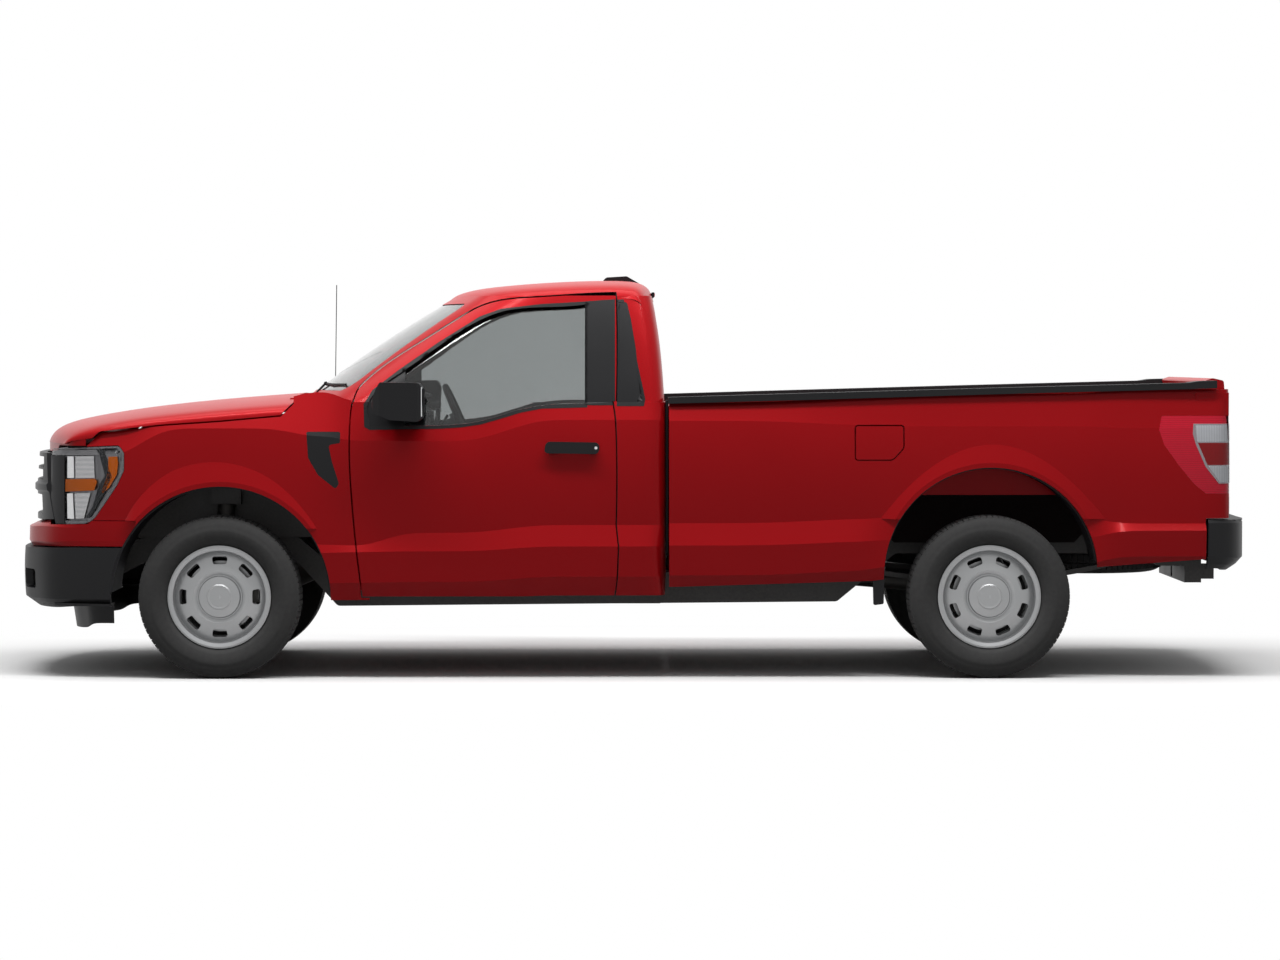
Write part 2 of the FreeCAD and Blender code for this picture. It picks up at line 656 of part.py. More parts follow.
def make_grille():
    """Curved surround with rows of slots and a proud bar, over a fine grid."""
    outline = prism([(0, 733), (-809, 733), (-718, 1046), (0, 1046)], "yz", -1200, -600)
    half = nose_band(GRILLE_SECTIONS, 0, 36).common(outline)
    rows = ((758, 850), (920, 968), (980, 1028))
    slots = [prism([(6, a), (-690, a, 6), (-676, b, 6), (6, b)], "yz", -1000, -700) for a, b in rows]
    half = half.cut(slots + [nose_band(CAP_SECTIONS, -20 - SEAT_GAP, 60)])
    grid = nose_band(GRILLE_SECTIONS, 36 + SEAT_GAP, 42).common(
        prism([(0, 750), (-704, 750), (-688, 1038), (0, 1038)], "yz", -1200, -780))
    holes = []
    for k in range(9):
        for a, b in ((764, 802), (808, 846), (926, 962), (986, 1022)):
            holes.append(box(-1000, -780, -12 - 74 * k - 66, -12 - 74 * k, a, b))
    return Part.makeCompound([whole(half), whole(grid.cut(holes))])


def make_headlamps():
    lamp = body_side(1, 95).common(prism(LAMP_OUTLINE, "xz", -WIDE, 0))
    lamp = lamp.common(prism([(-1100, 700), (-821, 700), (-705, 1100), (-1100, 1100)], "yz", -1200, 0))
    lamp = lamp.cut(arch_cut(FRONT_ARCH, -WIDE, 0, 8))
    return both(solids(lamp))


def make_front_structure():
    """Radiator support with the radiator, and the inner panels beside the engine."""
    frame = box(-790, -730, -690, 0, 560, 1040).cut(box(-800, -720, -600, 1, 620, 980))
    radiator = box(-780, -745, -600 - 1, 0, 619, 981)
    foot = box(-790, -730, -RAIL_HALF, -RAIL_HALF + RAIL_WIDTH, 540 + SEAT_GAP, 561)
    apron = box(-731, 440, -500, -488, 640, 1080)
    rail = box(-731, 440, -1000, -488, 1062, 1080)
    tower = box(-70, 70, -640, -499, 800, 1063)
    tower = tower.cut(disc(FRONT_ARCH[1], -WIDE, -575, FRONT_ARCH[2], FRONT_ARCH[0]))
    side = fuse([frame, radiator, foot, apron, rail, tower])
    lamp = body_side(-5, 95 + SEAT_GAP).common(prism(grown(LAMP_OUTLINE, SEAT_GAP), "xz", -WIDE, -700))
    skin = body_side(-60, SKIN + SEAT_GAP, -1000, 1200)
    corner = [box(-900, -560, -WIDE, -700, 1040, 1200), box(-570, -440, -WIDE, -960, 1040, 1200)]
    return whole(side.cut([lamp, skin] + corner))


def make_wheel_liners():
    radius, x, z = FRONT_ARCH
    liner = disc(x, -960, -575, z, radius - SEAT_GAP).cut(disc(x, -961, -570, z, radius - 9))
    liner = liner.cut(box(x - WIDE, x + WIDE, -WIDE, 0, -300, z + 20))
    front = solids(liner)
    radius, x, z = REAR_ARCH
    liner = disc(x, -960, -700, z, radius - SEAT_GAP).cut(disc(x, -961, -699, z, radius - 7))
    liner = liner.cut(box(x - WIDE, x + WIDE, -WIDE, 0, -300, z + 60))
    rear = solids(liner)
    return Part.makeCompound([front, mirrored(front), rear, mirrored(rear)])


# Cab
def make_cab_shell():
    """Roof, pillars and back panel as one welded shell with the door and glass openings."""
    wall = house_wall(0, WALL_DEPTH).fuse(roof_skin())
    wall = wall.cut(box(200, 2200, 0, 200, 1200, 2000))
    wall = wall.cut([windshield_prism(0), rear_window_prism(0)])
    opening = door_prism(SHUT_GAP, -WIDE, -600).cut(behind_door(SHUT_GAP))
    pocket = house_wall(-2, 8).common(prism(grown(CORNER_GLASS, SEAT_GAP), "xz", -WIDE, 0))
    wall = wall.cut([opening, pocket])
    corner = body_side(0, SKIN, 1400).common(box(1800, 2200, -WIDE, 0, 388, HOUSE_HEIGHTS[0]))
    back = box(BACK_PANEL[0], BACK_PANEL[1], -840, 0, CAB_FLOOR[0], HOUSE_HEIGHTS[0])
    lower = corner.fuse(back).cut(opening)
    half = wall.fuse(lower)
    return whole(half)


def make_cab_floor():
    """Floor pan with tunnel, toe board, firewall, sills and the flanges behind the doors."""
    low, high = CAB_FLOOR
    rear = BACK_PANEL[0] - SEAT_GAP
    post_top = HOUSE_HEIGHTS[0] - SEAT_GAP
    front_top = COWL_LOW - SEAT_GAP
    pan = box(FIREWALL, rear, -760, 0, low, high)
    sill = prism([(-SILL_HALF, 404, 12), (-740, 404, 12), (-740, high), (-SILL_HALF, high + 20, 12)], "yz",
                 560, rear)
    firewall = box(FIREWALL, FIREWALL + 26, -SILL_HALF, 0, low, front_top)
    toe = prism([(FIREWALL + 25, high - 1), (660, high - 1), (FIREWALL + 25, 760)], "xz", -SILL_HALF, 0)
    side_panel = box(FIREWALL, 550, -SILL_HALF, -SILL_HALF + 20, low, front_top)
    inner_face = body_side(DOOR_DEPTH + SEAT_GAP, 150, 260, 2000)
    front_post = inner_face.common(box(560, 660, -WIDE, 0, 420, 1200))
    front_core = box(540, 652, -SILL_HALF, -780, high - 1, front_top)
    rear_post = inner_face.common(box(1770, 1890, -WIDE, 0, 420, 1200))
    rear_core = box(1778, 1960, -SILL_HALF - 2, -780, high - 1, post_top)
    cushion_low = 700 - SEAT_GAP
    tunnel = prism([(1, low), (-180, low), (-145, cushion_low, 30), (1, cushion_low)], "yz", FIREWALL, rear)
    half = fuse([pan, sill, firewall, toe, side_panel, front_post, front_core, rear_post, rear_core, tunnel])
    hollow = prism([(1, 500), (-162, 500), (-128, 682, 20), (1, 682)], "yz", 400, rear + 1)
    skin = body_side(-200, SKIN + SEAT_GAP, 1400)
    return whole(half.cut([hollow, skin]))


def windshield_prism(gap):
    half_low, half_high = 775 - gap, 626 - gap
    return prism([(1, 1338 + gap), (-half_low, 1338 + gap, 40), (-half_high, 1748 - gap, 50), (1, 1748 - gap)],
                 "yz", 200, 1320)


def rear_window_prism(gap):
    return prism([(1, 1372 + gap), (-690 + gap, 1372 + gap, 50), (-620 + gap, 1700 - gap, 50), (1, 1700 - gap)],
                 "yz", 1900, 2200)


def make_cab_glass():
    sheet = house_wall(3, 3 + GLASS)
    panes = [sheet.common(windshield_prism(SEAT_GAP)), sheet.common(rear_window_prism(SEAT_GAP))]
    return Part.makeCompound([whole(p) for p in panes])


def make_cowl():
    """Black panel ahead of the windshield, with the two wipers and the whip antenna."""
    x, z = HOOD_HINGE
    plan = [(HOOD_REAR + 12, 0), (HOOD_REAR + 12, -SILL_HALF, 30), (600, -SILL_HALF, 10), (600, 0)]
    panel = prism(plan, "xy", COWL_LOW, 1300)
    ear = box(x - 4, x + 10, -710, -702, z - 8, z + 6)
    pin = rod((x, -706, z), (x, -684, z), PIN_RADIUS)
    notch = box(x, x + 14, -700, -680, z - 12, z + 12)
    foot = [(row[0][0] - 2, row[0][1] - 2 if row[0][1] else 2) for row in HOUSE_ROWS]
    house = prism(foot, "xy", HOUSE_HEIGHTS[0] - SEAT_GAP, 1400)
    panel = panel.cut([house, notch]).fuse([ear, pin])
    return whole(panel)


# Doors
def make_door():
    skin = body_side(0, DOOR_DEPTH, 260, 2000)
    lower = skin.common(box(500, 1990, -WIDE, 0, DOOR_SILL, HOUSE_HEIGHTS[0]))
    frame = house_wall(0, FRAME_DEPTH).common(box(500, 1990, -WIDE, 0, HOUSE_HEIGHTS[0], 2000))
    door = lower.common(door_prism(0, -WIDE, 0))
    frame = frame.common(door_prism(0, -WIDE, 0))
    door = door.fuse(frame)
    door = door.cut(behind_door(0))
    door = door.cut([window_prism(), box(1900, 2200, -WIDE, 0, 0, 2000)])
    return solids(door)


def window_prism():
    """The daylight opening of the door, right through the truck's side."""
    return curved_prism([WINDOW_LINE, [WINDOW_LINE[-1], DAYLIGHT_BELT[0]], DAYLIGHT_BELT,
                         [DAYLIGHT_BELT[-1], WINDOW_LINE[0]]], "xz", -WIDE, 0)


def window_sheet(outer, inner, x0, x1):
    """A sheet in the daylight opening that bends with the door at the belt."""
    split = HOUSE_HEIGHTS[0]
    upper = house_wall(outer, inner).common(box(x0, x1, -WIDE, 0, split, 2000))
    lower = body_side(outer, inner, 260, 2000).common(box(x0, x1, -WIDE, 0, 1100, split))
    return upper.fuse(lower).common(window_prism())


def make_door_glass():
    return solids(window_sheet(16, 16 + GLASS, SAIL_EDGE + SEAT_GAP, 1700 - SEAT_GAP))


def make_door_trim():
    """Mirror on the corner sail that carries it, and the pull handle with its lock."""
    arm = prism([(770, -930), (850, -930), (880, -1010), (800, -1010)], "xy", 1216, 1262)
    head = prism([(716, 1290, 20), (742, 1352, 16), (758, 1380, 14), (936, 1377, 20), (960, 1344, 20),
                  (955, 1216, 20), (932, 1198, 16), (804, 1206, 14), (730, 1238, 16)], "xz", -1180, -985)
    plan = prism([(716, -1150, 20), (760, -1180, 20), (930, -1172, 20), (962, -1150, 8), (962, -985, 8),
                  (800, -985, 20)], "xy", 1100, 1500)
    head = head.common(plan)
    head = head.cut(prism([(-1166, 1218, 16), (-1000, 1214, 16), (-1000, 1362, 16), (-1166, 1362, 16)], "yz",
                          950, 990))
    handle = prism([(1511, 1050, 16), (1764, 1046, 22), (1771, 1100, 22), (1520, 1104, 22)], "xz", -1022, -1004)
    feet = [box(1528, 1556, -1006, -960, 1060, 1094), box(1716, 1760, -1006, -960, 1058, 1094)]
    handle = handle.fuse(feet).cut(body_side(-SEAT_GAP, 120, 260, 2000))
    sail = window_sheet(6, 26, 600, SAIL_EDGE)
    return Part.makeCompound([solids(fuse([sail, arm, head])), solids(handle)])


# Load bed
def make_bed_sides():
    """Outer panel, rail box, rear post and wheel arch lip of each side of the bed."""
    skin = bed_side(0, 20)
    lip = flare(REAR_ARCH, REAR_FLARE, 744).common(bed_side(-60, 16, 2500, 4800))
    top = bed_side(10, 150, 2000, 4560).common(box(BED_FRONT, 4560, -WIDE, 0, BED_FLOOR - 30, 1400))
    top = top.common(prism([(BED_FRONT, BED_FLOOR - 30), (4560, BED_FLOOR - 30), (4560, 1336), (BED_FRONT, 1268)],
                           "xz", -WIDE, -BED_INNER_HALF))
    post = box(4540, BED_REAR - 8, -940, -TAILGATE_HALF - SHUT_GAP, 700, 1330)
    half = skin.fuse([lip, top, post])
    trimmed = prism([(2000, 1276), (2090, 1279), (2700, 1295), (3626, 1323), (4508, 1346), (4800, 1352),
                     (4800, 1500), (2000, 1500)], "xz", -WIDE, 0)
    low = prism([(2000, 300), (4800, 300), (4800, 572), (4090, 520), (3200, 460), (2000, 424)], "xz", -WIDE, 0)
    lamp = prism(grown(LAMP_REAR_OUTLINE, 0), "xz", -WIDE, -838)
    fuel = bed_side(-4, 38, 2500, 4800).common(prism(FUEL_DOOR_OUTLINE, "xz", -WIDE, 0))
    x, z = TAILGATE_HINGE
    socket = disc(x, -TAILGATE_HALF - 30, -TAILGATE_HALF, z, GATE_PIN + PIN_PLAY)
    cutters = [trimmed, low, lamp, fuel, arch_cut(REAR_ARCH, -WIDE, 0), socket,
               box(4588, 4800, -WIDE, 0, 0, 746), box(2000, 4800, -TAILGATE_HALF - SHUT_GAP, 0, 0, 2000)]
    neck = bed_side(7 + SEAT_GAP, 45, 2500, 4800).common(disc(3060, -WIDE, 0, 1100, 36))
    return both(solids(half.cut(cutters).fuse(neck)))


def make_fuel_door():
    flap = bed_side(0, 7, 2500, 4800).common(prism(grown(FUEL_DOOR_OUTLINE, -6), "xz", -WIDE, 0))
    return solids(flap)


def make_rail_caps():
    """Black caps along the top of the bed sides."""
    line = [(2088, 1276), (2090, 1279), (2700, 1295), (3626, 1323), (4508, 1346), (4640, 1350)]
    top = [(4640, 1386), (4560, 1384), (4508, 1376), (3627, 1353), (2699, 1327), (2088, 1309)]
    cap = prism([(x, z + SEAT_GAP) for x, z in line] + top, "xz", -962, -800)
    cap = cap.cut(prism([(2000, 1345), (2000, 1450), (4700, 1450), (4700, 1345)], "xz", -1000, -970))
    return both(solids(cap))


def make_bed_box():
    """Ribbed floor on crossmembers, front wall and wheelhouses."""
    half = BED_INNER_HALF - SEAT_GAP
    rear = TAILGATE_HINGE[0] - 16
    tail_half = TAILGATE_HALF + SHUT_GAP - SEAT_GAP
    low = BED_FLOOR - BED_FLOOR_DEPTH
    floor = prism([(BED_FRONT + 4, 0), (BED_FRONT + 4, -half), (4539, -half), (4539, -tail_half),
                   (rear, -tail_half), (rear, 0)], "xy", low, BED_FLOOR)
    grooves = [box(BED_FRONT + 80, rear - 60, -75 - 110 * k, -30 - 110 * k, BED_FLOOR - 8, BED_FLOOR + 1)
               for k in range(5)]
    front = box(BED_FRONT + 4, BED_FRONT + 40, -half, 0, BED_FLOOR - 40, 1262)
    panels = [box(BED_FRONT, BED_FRONT + 16, -640 + 210 * k, -480 + 210 * k, 910, 1200) for k in range(3)]
    beams = [box(x, x + 70, -tail_half + 2, 0, BEAM_LOW, low + 1) for x in BED_BEAMS]
    radius, centre_z = REAR_ARCH[0] + 103, WHEELHOUSE_TOP - REAR_ARCH[0] - 103
    house = disc(REAR_ARCH[1], -half, -WHEELHOUSE_HALF, centre_z, radius)
    hollow = disc(REAR_ARCH[1], -half - 1, -WHEELHOUSE_HALF - 12, centre_z, radius - 12)
    above = box(2900, 4300, -WIDE, 0, 700, 1300)
    floor = floor.cut(grooves)
    front = front.cut(panels)
    body = fuse([floor, front] + beams + [house.common(above)]).cut(hollow)
    return whole(body.cut(box(2900, 4300, -half - 1, -WHEELHOUSE_HALF, 600, low)))


def make_tailgate():
    """Hollow gate with the pressed outer face and the proud top edge."""
    x, z = TAILGATE_HINGE
    outer = x + TAILGATE_DEPTH
    side = [(x - 12, z - 12, 8), (outer, z - 4, 10), (outer + 6, 900, 40), (outer + 6, 1200, 20), (outer - 16, 1240, 20),
            (outer - 6, 1340, 10), (outer - 10, 1385, 12), (4648, 1397, 20), (4610, 1384, 10), (4622, 1346, 10),
            (x - 12, 1330, 10)]
    gate = prism(side, "xz", -TAILGATE_HALF, TAILGATE_HALF)
    pan = prism([(-560, 960, 40), (560, 960, 40), (560, 1190, 40), (-560, 1190, 40)], "yz", outer, outer + 20)
    inner = prism([(-640, 930, 30), (640, 930, 30), (640, 1280, 30), (-640, 1280, 30)], "yz", x - 1, x + 14)
    grip = prism([(-110, 1264, 12), (110, 1264, 12), (110, 1322, 12), (-110, 1322, 12)], "yz", outer - 40,
                 outer + 20)
    pins = [disc(x, -TAILGATE_HALF - 24, -TAILGATE_HALF + 1, z, GATE_PIN),
            disc(x, TAILGATE_HALF - 1, TAILGATE_HALF + 24, z, GATE_PIN)]
    return solids(gate.cut([pan, inner, grip]).fuse(pins))


def make_tailgate_handle():
    outer = TAILGATE_HINGE[0] + TAILGATE_DEPTH
    plate = prism([(-110 + SEAT_GAP, 1264 + SEAT_GAP, 12), (110 - SEAT_GAP, 1264 + SEAT_GAP, 12),
                   (110 - SEAT_GAP, 1322 - SEAT_GAP, 12), (-110 + SEAT_GAP, 1322 - SEAT_GAP, 12)], "yz",
                  outer - 40 + SEAT_GAP, outer - 12)
    scoop = prism([(-80, 1274, 10), (80, 1274, 10), (80, 1304, 10), (-80, 1304, 10)], "yz", outer - 34, outer)
    return solids(plate.cut(scoop))


def make_tail_lamps():
    lamp = bed_side(0, 50, 4000, 4800).common(prism(grown(LAMP_REAR_OUTLINE, -SEAT_GAP), "xz", -WIDE,
                                                    -838 - SEAT_GAP))
    lamp = lamp.cut(box(4000, BED_REAR - 8 + SEAT_GAP, -940 - SEAT_GAP, 0, 0, 2000))
    return both(solids(lamp))


REAR_BUMPER_STATIONS = [(4827, 0, "mid"), (4826, 220, "mid"), (4818, 480, "mid"), (4802, 700, "mid"),
                        (4774, 850, "mid"), (4736, 930, "mid"), (4680, 968, "end"), (4600, 978, "end")]
REAR_BUMPER_SECTIONS = {
    "mid": [(-14, 738), (0, 722), (0, 560), (-30, 527), (-70, 500)],
    "end": [(-8, 738), (0, 724), (-2, 570), (-20, 530), (-40, 512)],
}


def make_rear_bumper():
    """Step bumper with the ball hole in its top and a recess for the plate."""
    half = band(REAR_BUMPER_STATIONS[::-1], REAR_BUMPER_SECTIONS, 0, 24, (1, 2, 3))
    top_plan = [(4600, 0), (4600, -950), (4680, -944), (4736, -906), (4774, -828), (4800, -690), (4806, 0)]
    top = prism([(x, y) for x, y in top_plan], "xy", 728, 738)
    half = half.fuse(top)
    half = half.cut(box(4700, 4900, -150, 1, 560, 700))
    back = box(4780, 4792, -170, 0, 540, 729)
    bracket = box(4600, 4796, -RAIL_HALF - 12 - SEAT_GAP, -RAIL_HALF - SEAT_GAP, 560, 729)
    half = half.fuse([back, bracket])
    half = whole(half)
    return solids(half.cut(rod((HITCH_BALL_X, 0, 700), (HITCH_BALL_X, 0, 760), HITCH_BALL_RADIUS)))


# Ladder frame and running gear
def make_frame():
    """Two box rails that rise over the axles, the crossmembers and the tow receiver."""
    inner = -RAIL_HALF + RAIL_WIDTH
    low = [(-980, 420), (-600, 420), (-400, 520), (330, 520), (520, 310), (2900, 330), (3180, 560),
           (4300, 560), (4440, 500), (4640, 500)]
    high = [(4640, 620), (4440, 620), (4300, 700), (3180, 700), (2900, 480), (560, 450), (330, 640),
            (-400, 640), (-600, 540), (-980, 540)]
    bends = [(x, z, 30) if 0 < i < 9 else (x, z) for line in (low, high) for i, (x, z) in enumerate(line)]
    rail = prism(bends, "xz", -RAIL_HALF, inner)
    rail = rail.cut(nose_band(BUMPER_SECTIONS, -80, 34 + SEAT_GAP))
    cross = [box(x, x + wide, inner - 10, 0, z, z + deep) for x, wide, z, deep in (
        (-850, 70, 440, 80), (1200, 90, 350, 130), (2100, 80, 340, 70), (3020, 70, 480, 60), (3640, 70, 600, 60))]
    hanger = box(SPARE_X - 35, SPARE_X + 35, inner - 10, 0, SPARE_LOW + TYRE_WIDTH + SEAT_GAP, 742)
    pad = box(SPARE_X - 35, SPARE_X + 35, -RAIL_HALF, inner, 698, 742)
    cab_mounts = [box(x, x + 90, -740 + SEAT_GAP, -RAIL_HALF + 10, 400, 440) for x in (700, 1850)]
    bed_mounts = []
    for x in BED_BEAMS:
        bed_mounts.append(box(x, x + 60, -RAIL_HALF, inner, 440 if x < 3000 else 600, BEAM_LOW - SEAT_GAP))
    engine_mount = box(-120, -20, inner - 5, -300 - SEAT_GAP, 560, 620)
    hitch_bar = box(4560, 4640, -RAIL_HALF, 0, 420, 500)
    drop = box(4560, 4640, -RAIL_HALF, inner, 480, 520)
    socket = box(4600, 4762, -36, 0, 415, 487)
    half = fuse([rail, hanger, pad, engine_mount, hitch_bar, drop, socket] + cross + cab_mounts + bed_mounts)
    low_z = 451 - RECEIVER / 2
    half = half.cut(box(4540, 4800, -RECEIVER / 2, 1, low_z, low_z + RECEIVER))
    return whole(half)


def make_engine():
    return prism([(-560, 540, 40), (200, 540, 40), (300, 600, 30), (300, 900, 60), (-300, 960, 60),
                  (-560, 880, 60)], "xz", -300, 300)


def make_driveline():
    """Gearbox and the shaft to the rear axle."""
    z = SHAFT_HEIGHT
    nose = WHEELBASE - DIFF_NOSE - SEAT_GAP
    bell = Part.makeCone(185, 110, 170, Vector(300 + SEAT_GAP, 0, z), Vector(1, 0, 0))
    case = Part.makeCylinder(110, 700, Vector(470, 0, z), Vector(1, 0, 0))
    tail = Part.makeCone(100, 55, 220, Vector(1169, 0, z), Vector(1, 0, 0))
    shaft = rod((1380, 0, z - 4), (nose - 10, 0, AXLE + 10), 42)
    flange = Part.makeCylinder(55, 20, Vector(nose - 20, 0, AXLE + 10), Vector(1, 0, 0))
    shape = fuse([bell, case, tail, shaft, flange])
    return solids(shape.cut(box(1150, 1350, -100, 100, 400, 480 + SEAT_GAP)))


def make_rear_axle():
    """Axle tube with the differential, the brake plates and the stub shafts."""
    tube = [(0, -690), (42, -690), (42, -150), (90, -130), (140, -70), (150, 0), (140, 70), (90, 130), (42, 150),
            (42, 690), (0, 690)]
    body = revolved([(r, y) for r, y in tube], WHEELBASE, 0, AXLE)
    nose = Part.makeCone(60, 100, DIFF_NOSE - 40, Vector(WHEELBASE - DIFF_NOSE, 0, AXLE + 10), Vector(1, 0, 0))
    plates = [disc(WHEELBASE, -722, -689, AXLE, 90), disc(WHEELBASE, 689, 722, AXLE, 90)]
    stubs = [disc(WHEELBASE, -TRACK / 2, -721, AXLE, HUB_RADIUS - SEAT_GAP),
             disc(WHEELBASE, 721, TRACK / 2, AXLE, HUB_RADIUS - SEAT_GAP)]
    return solids(fuse([body, nose] + plates + stubs))


def make_leaf_springs():
    """Leaf packs under the axle with their hangers and the dampers."""
    x = WHEELBASE
    y0, y1 = -560, -496
    arc = []
    top = Part.Arc(Vector(x - 690, y0, 520), Vector(x, y0, 452), Vector(x + 760, y0, 560)).toShape()
    low = Part.Arc(Vector(x + 760, y0, 545), Vector(x, y0, 424), Vector(x - 690, y0, 505)).toShape()
    ends = [Part.LineSegment(Vector(x + 760, y0, 560), Vector(x + 760, y0, 545)).toShape(),
            Part.LineSegment(Vector(x - 690, y0, 505), Vector(x - 690, y0, 520)).toShape()]
    pack = Part.Face(Part.Wire([top, ends[0], low, ends[1]])).extrude(Vector(0, y1 - y0, 0))
    saddle = box(x - 90, x + 90, y0 - 6, y1 + 6, AXLE + 42 + SEAT_GAP, 440)
    front = box(x - 720, x - 660, y0, -RAIL_HALF - SEAT_GAP, 490, 540)
    rear = box(x + 730, x + 780, y0, -RAIL_HALF - SEAT_GAP, 530, 640)
    del arc
    return both(solids(fuse([pack, saddle, front, rear])))


def make_front_suspension():
    """Crossmember, upper and lower arms, and the coil-over struts."""
    inner = -RAIL_HALF + RAIL_WIDTH
    k = -(TRACK / 2 - KINGPIN_INSET)
    member = box(-120, 130, inner + SEAT_GAP, 0, 330, 400)
    posts = box(-120, 130, inner + SEAT_GAP, inner + 60, 390, 560)
    lower = prism([(-170, inner + 30, 20), (170, inner + 30, 20), (34, k - 12, 20), (-34, k - 12, 20)],
                  "xy", 262, 300)
    lower = lower.fuse(box(-170, 170, inner, inner + 40, 290, 345))
    strut_low, strut_top = Vector(0, -600, 290), Vector(0, -560, 800 - SEAT_GAP)
    strut = Part.makeCylinder(42, (strut_top - strut_low).Length - 3, strut_low, strut_top - strut_low)
    upper = prism([(-120, -RAIL_HALF - 20, 15), (120, -RAIL_HALF - 20, 15), (28, k - 22, 20), (-28, k - 22, 20)],
                  "xy", 505, 527)
    upper = upper.fuse(box(-130, 130, -RAIL_HALF - 30, -RAIL_HALF - SEAT_GAP, 505, 600))
    upper = upper.cut(Part.makeCylinder(52, 600, strut_low, strut_top - strut_low))
    whole_low = whole(fuse([member, posts, lower, strut]))
    upper = solids(upper)
    return Part.makeCompound([whole_low, upper, mirrored(upper)])


def make_knuckle():
    """Upright between the ball joints, with the stub axle and the brake caliper."""
    k = -(TRACK / 2 - KINGPIN_INSET)
    disc_low, disc_high = ROTOR_PLACE
    y = -TRACK / 2
    post = rod((0, k, 300 + SEAT_GAP), (0, k, 505 - SEAT_GAP), 20)
    plate = disc(0, k - 16, k + 20, AXLE, 55)
    stub = disc(0, y, k, AXLE, HUB_RADIUS - SEAT_GAP)
    caliper = box(95, 174, y + disc_low - 22, y + disc_high + 24, AXLE - 30, AXLE + 30)
    slot = disc(0, y + disc_low - 5, y + disc_high + 5, AXLE, BRAKE_RADIUS + 3)
    arm = box(20, 150, k - 10, k + 16, AXLE - 18, AXLE + 18)
    bridge = box(120, 158, y + disc_high + 10, k + 16, AXLE - 18, AXLE + 18)
    return solids(fuse([post, plate, stub, caliper.cut(slot), arm, bridge]))


def revolved(profile, x, y, z):
    """A profile of (radius, crosswise) turned about a crosswise axis."""
    wire = rounded_wire([(y + p[1], p[0]) + tuple(p[2:]) for p in profile], "yz", 0)
    solid = Part.Face(wire).revolve(Vector(0, 0, 0), Vector(0, 1, 0), 360)
    solid.translate(Vector(x, 0, z))
    return solid


def make_tyre(x, y):
    """y is the middle of the tyre."""
    w, b = TYRE_WIDTH / 2, RIM_WIDTH / 2 - 6
    bead, top = RIM_RADIUS + 6, TYRE_RADIUS
    half = [(bead, -b), (bead + 20, -b), (bead + 34, -w + 22), (bead + 62, -w + 4), (bead + 84, -w), (top - 40, -w + 6),
            (top - 12, -w + 20), (top - 3, -w + 38), (top, -w + 80)]
    return revolved(half + [(r, -v) for r, v in half[::-1]], x, y, AXLE)


def make_rim(x, y, turn):
    """Steel wheel with round-cornered slots, dome cap and the brake disc behind it.
    The outer face looks to -Y."""
    w, r = RIM_WIDTH / 2 + 6, RIM_RADIUS
    seat = r + 6 - SEAT_GAP
    flange = w - 12 + SEAT_GAP
    outer = [(seat, -flange), (r + 24, -flange), (r + 24, -w + 3), (r + 16, -w), (r, -w + 8), (r - 8, -w + 56),
             (r - 34, -w + 72), (r - 34, w - 66), (r - 4, w - 30), (r + 6, w - 4), (r + 16, w), (r + 24, w - 3),
             (r + 24, flange), (seat, flange), (seat, w - 36), (r - 24, w - 70), (r - 24, -w + 78),
             (seat, -w + 60)]
    barrel = revolved(outer, x, y, AXLE)
    face = [(r - 6, -w + 46), (r - 6, -w + 60), (150, -w + 42), (118, -w + 34), (108, -w + 44),
            (HUB_RADIUS, -w + 44), (HUB_RADIUS, -w + 28), (104, -w + 26), (122, -w + 18), (150, -w + 26)]
    plate = revolved(face, x, y, AXLE)
    slots = []
    for k in range(SLOT_COUNT):
        slot = prism([(-31, 152, 10), (31, 152, 10), (38, 188, 12), (-38, 188, 12)], "xz", -400, 400)
        slot.rotate(Vector(0, 0, 0), Vector(0, 1, 0), turn + 360.0 * k / SLOT_COUNT)
        slot.translate(Vector(x, y, AXLE))
        slots.append(slot)
    plate = plate.cut(slots)
    cap = revolved([(100, -w + 28), (94, -w + 12), (60, -w + 3), (54, -w - 1), (46, -w + 2), (0, -w), (0, -w + 29)],
                   x, y, AXLE)
    low, high = ROTOR_PLACE
    hub = ring_part(x, y - w + 43, y + high, AXLE, 60, HUB_RADIUS)
    rotor = ring_part(x, y + low, y + high, AXLE, BRAKE_RADIUS, 50)
    return solids(fuse([barrel, plate, cap, hub, rotor]))


def ring_part(x, y0, y1, z, outer, inner):
    return disc(x, y0, y1, z, outer).cut(disc(x, y0 - 1, y1 + 1, z, inner))


def make_spare_wheel():
    tyre = make_tyre(0, 0).fuse(disc(0, -60, 60, AXLE, RIM_RADIUS + 6))
    hub = disc(0, -TYRE_WIDTH / 2, 60, AXLE, 40)
    spare = tyre.fuse(hub)
    spare.translate(Vector(0, 0, -AXLE))
    spare.rotate(Vector(0, 0, 0), Vector(1, 0, 0), -90)
    spare.translate(Vector(SPARE_X, 0, SPARE_LOW + TYRE_WIDTH / 2))
    return solids(spare)


def make_exhaust():
    """Pipe, muffler and tail pipe, hung from the right-hand rail."""
    y, z = 250, 455
    pipe = rod((1000, y, z + 76), (2300, y, z), 28)
    muffler = Part.makeCylinder(95, 560, Vector(2260, y, z), Vector(1, 0, 0))
    tail = rod((2800, y, z), (3000, y + 80, z + 10), 30)
    hanger = rod((2600, y + 80, z - 40), (2600, RAIL_HALF - RAIL_WIDTH - SEAT_GAP, z - 40), 8)
    return solids(fuse([pipe, muffler, tail, hanger]))


def make_fuel_tank():
    inner = -RAIL_HALF + RAIL_WIDTH + SEAT_GAP
    return prism([(inner, 330, 30), (-150, 300, 40), (-150, 530, 40), (inner, 530, 30)], "yz", 1320, 2060)


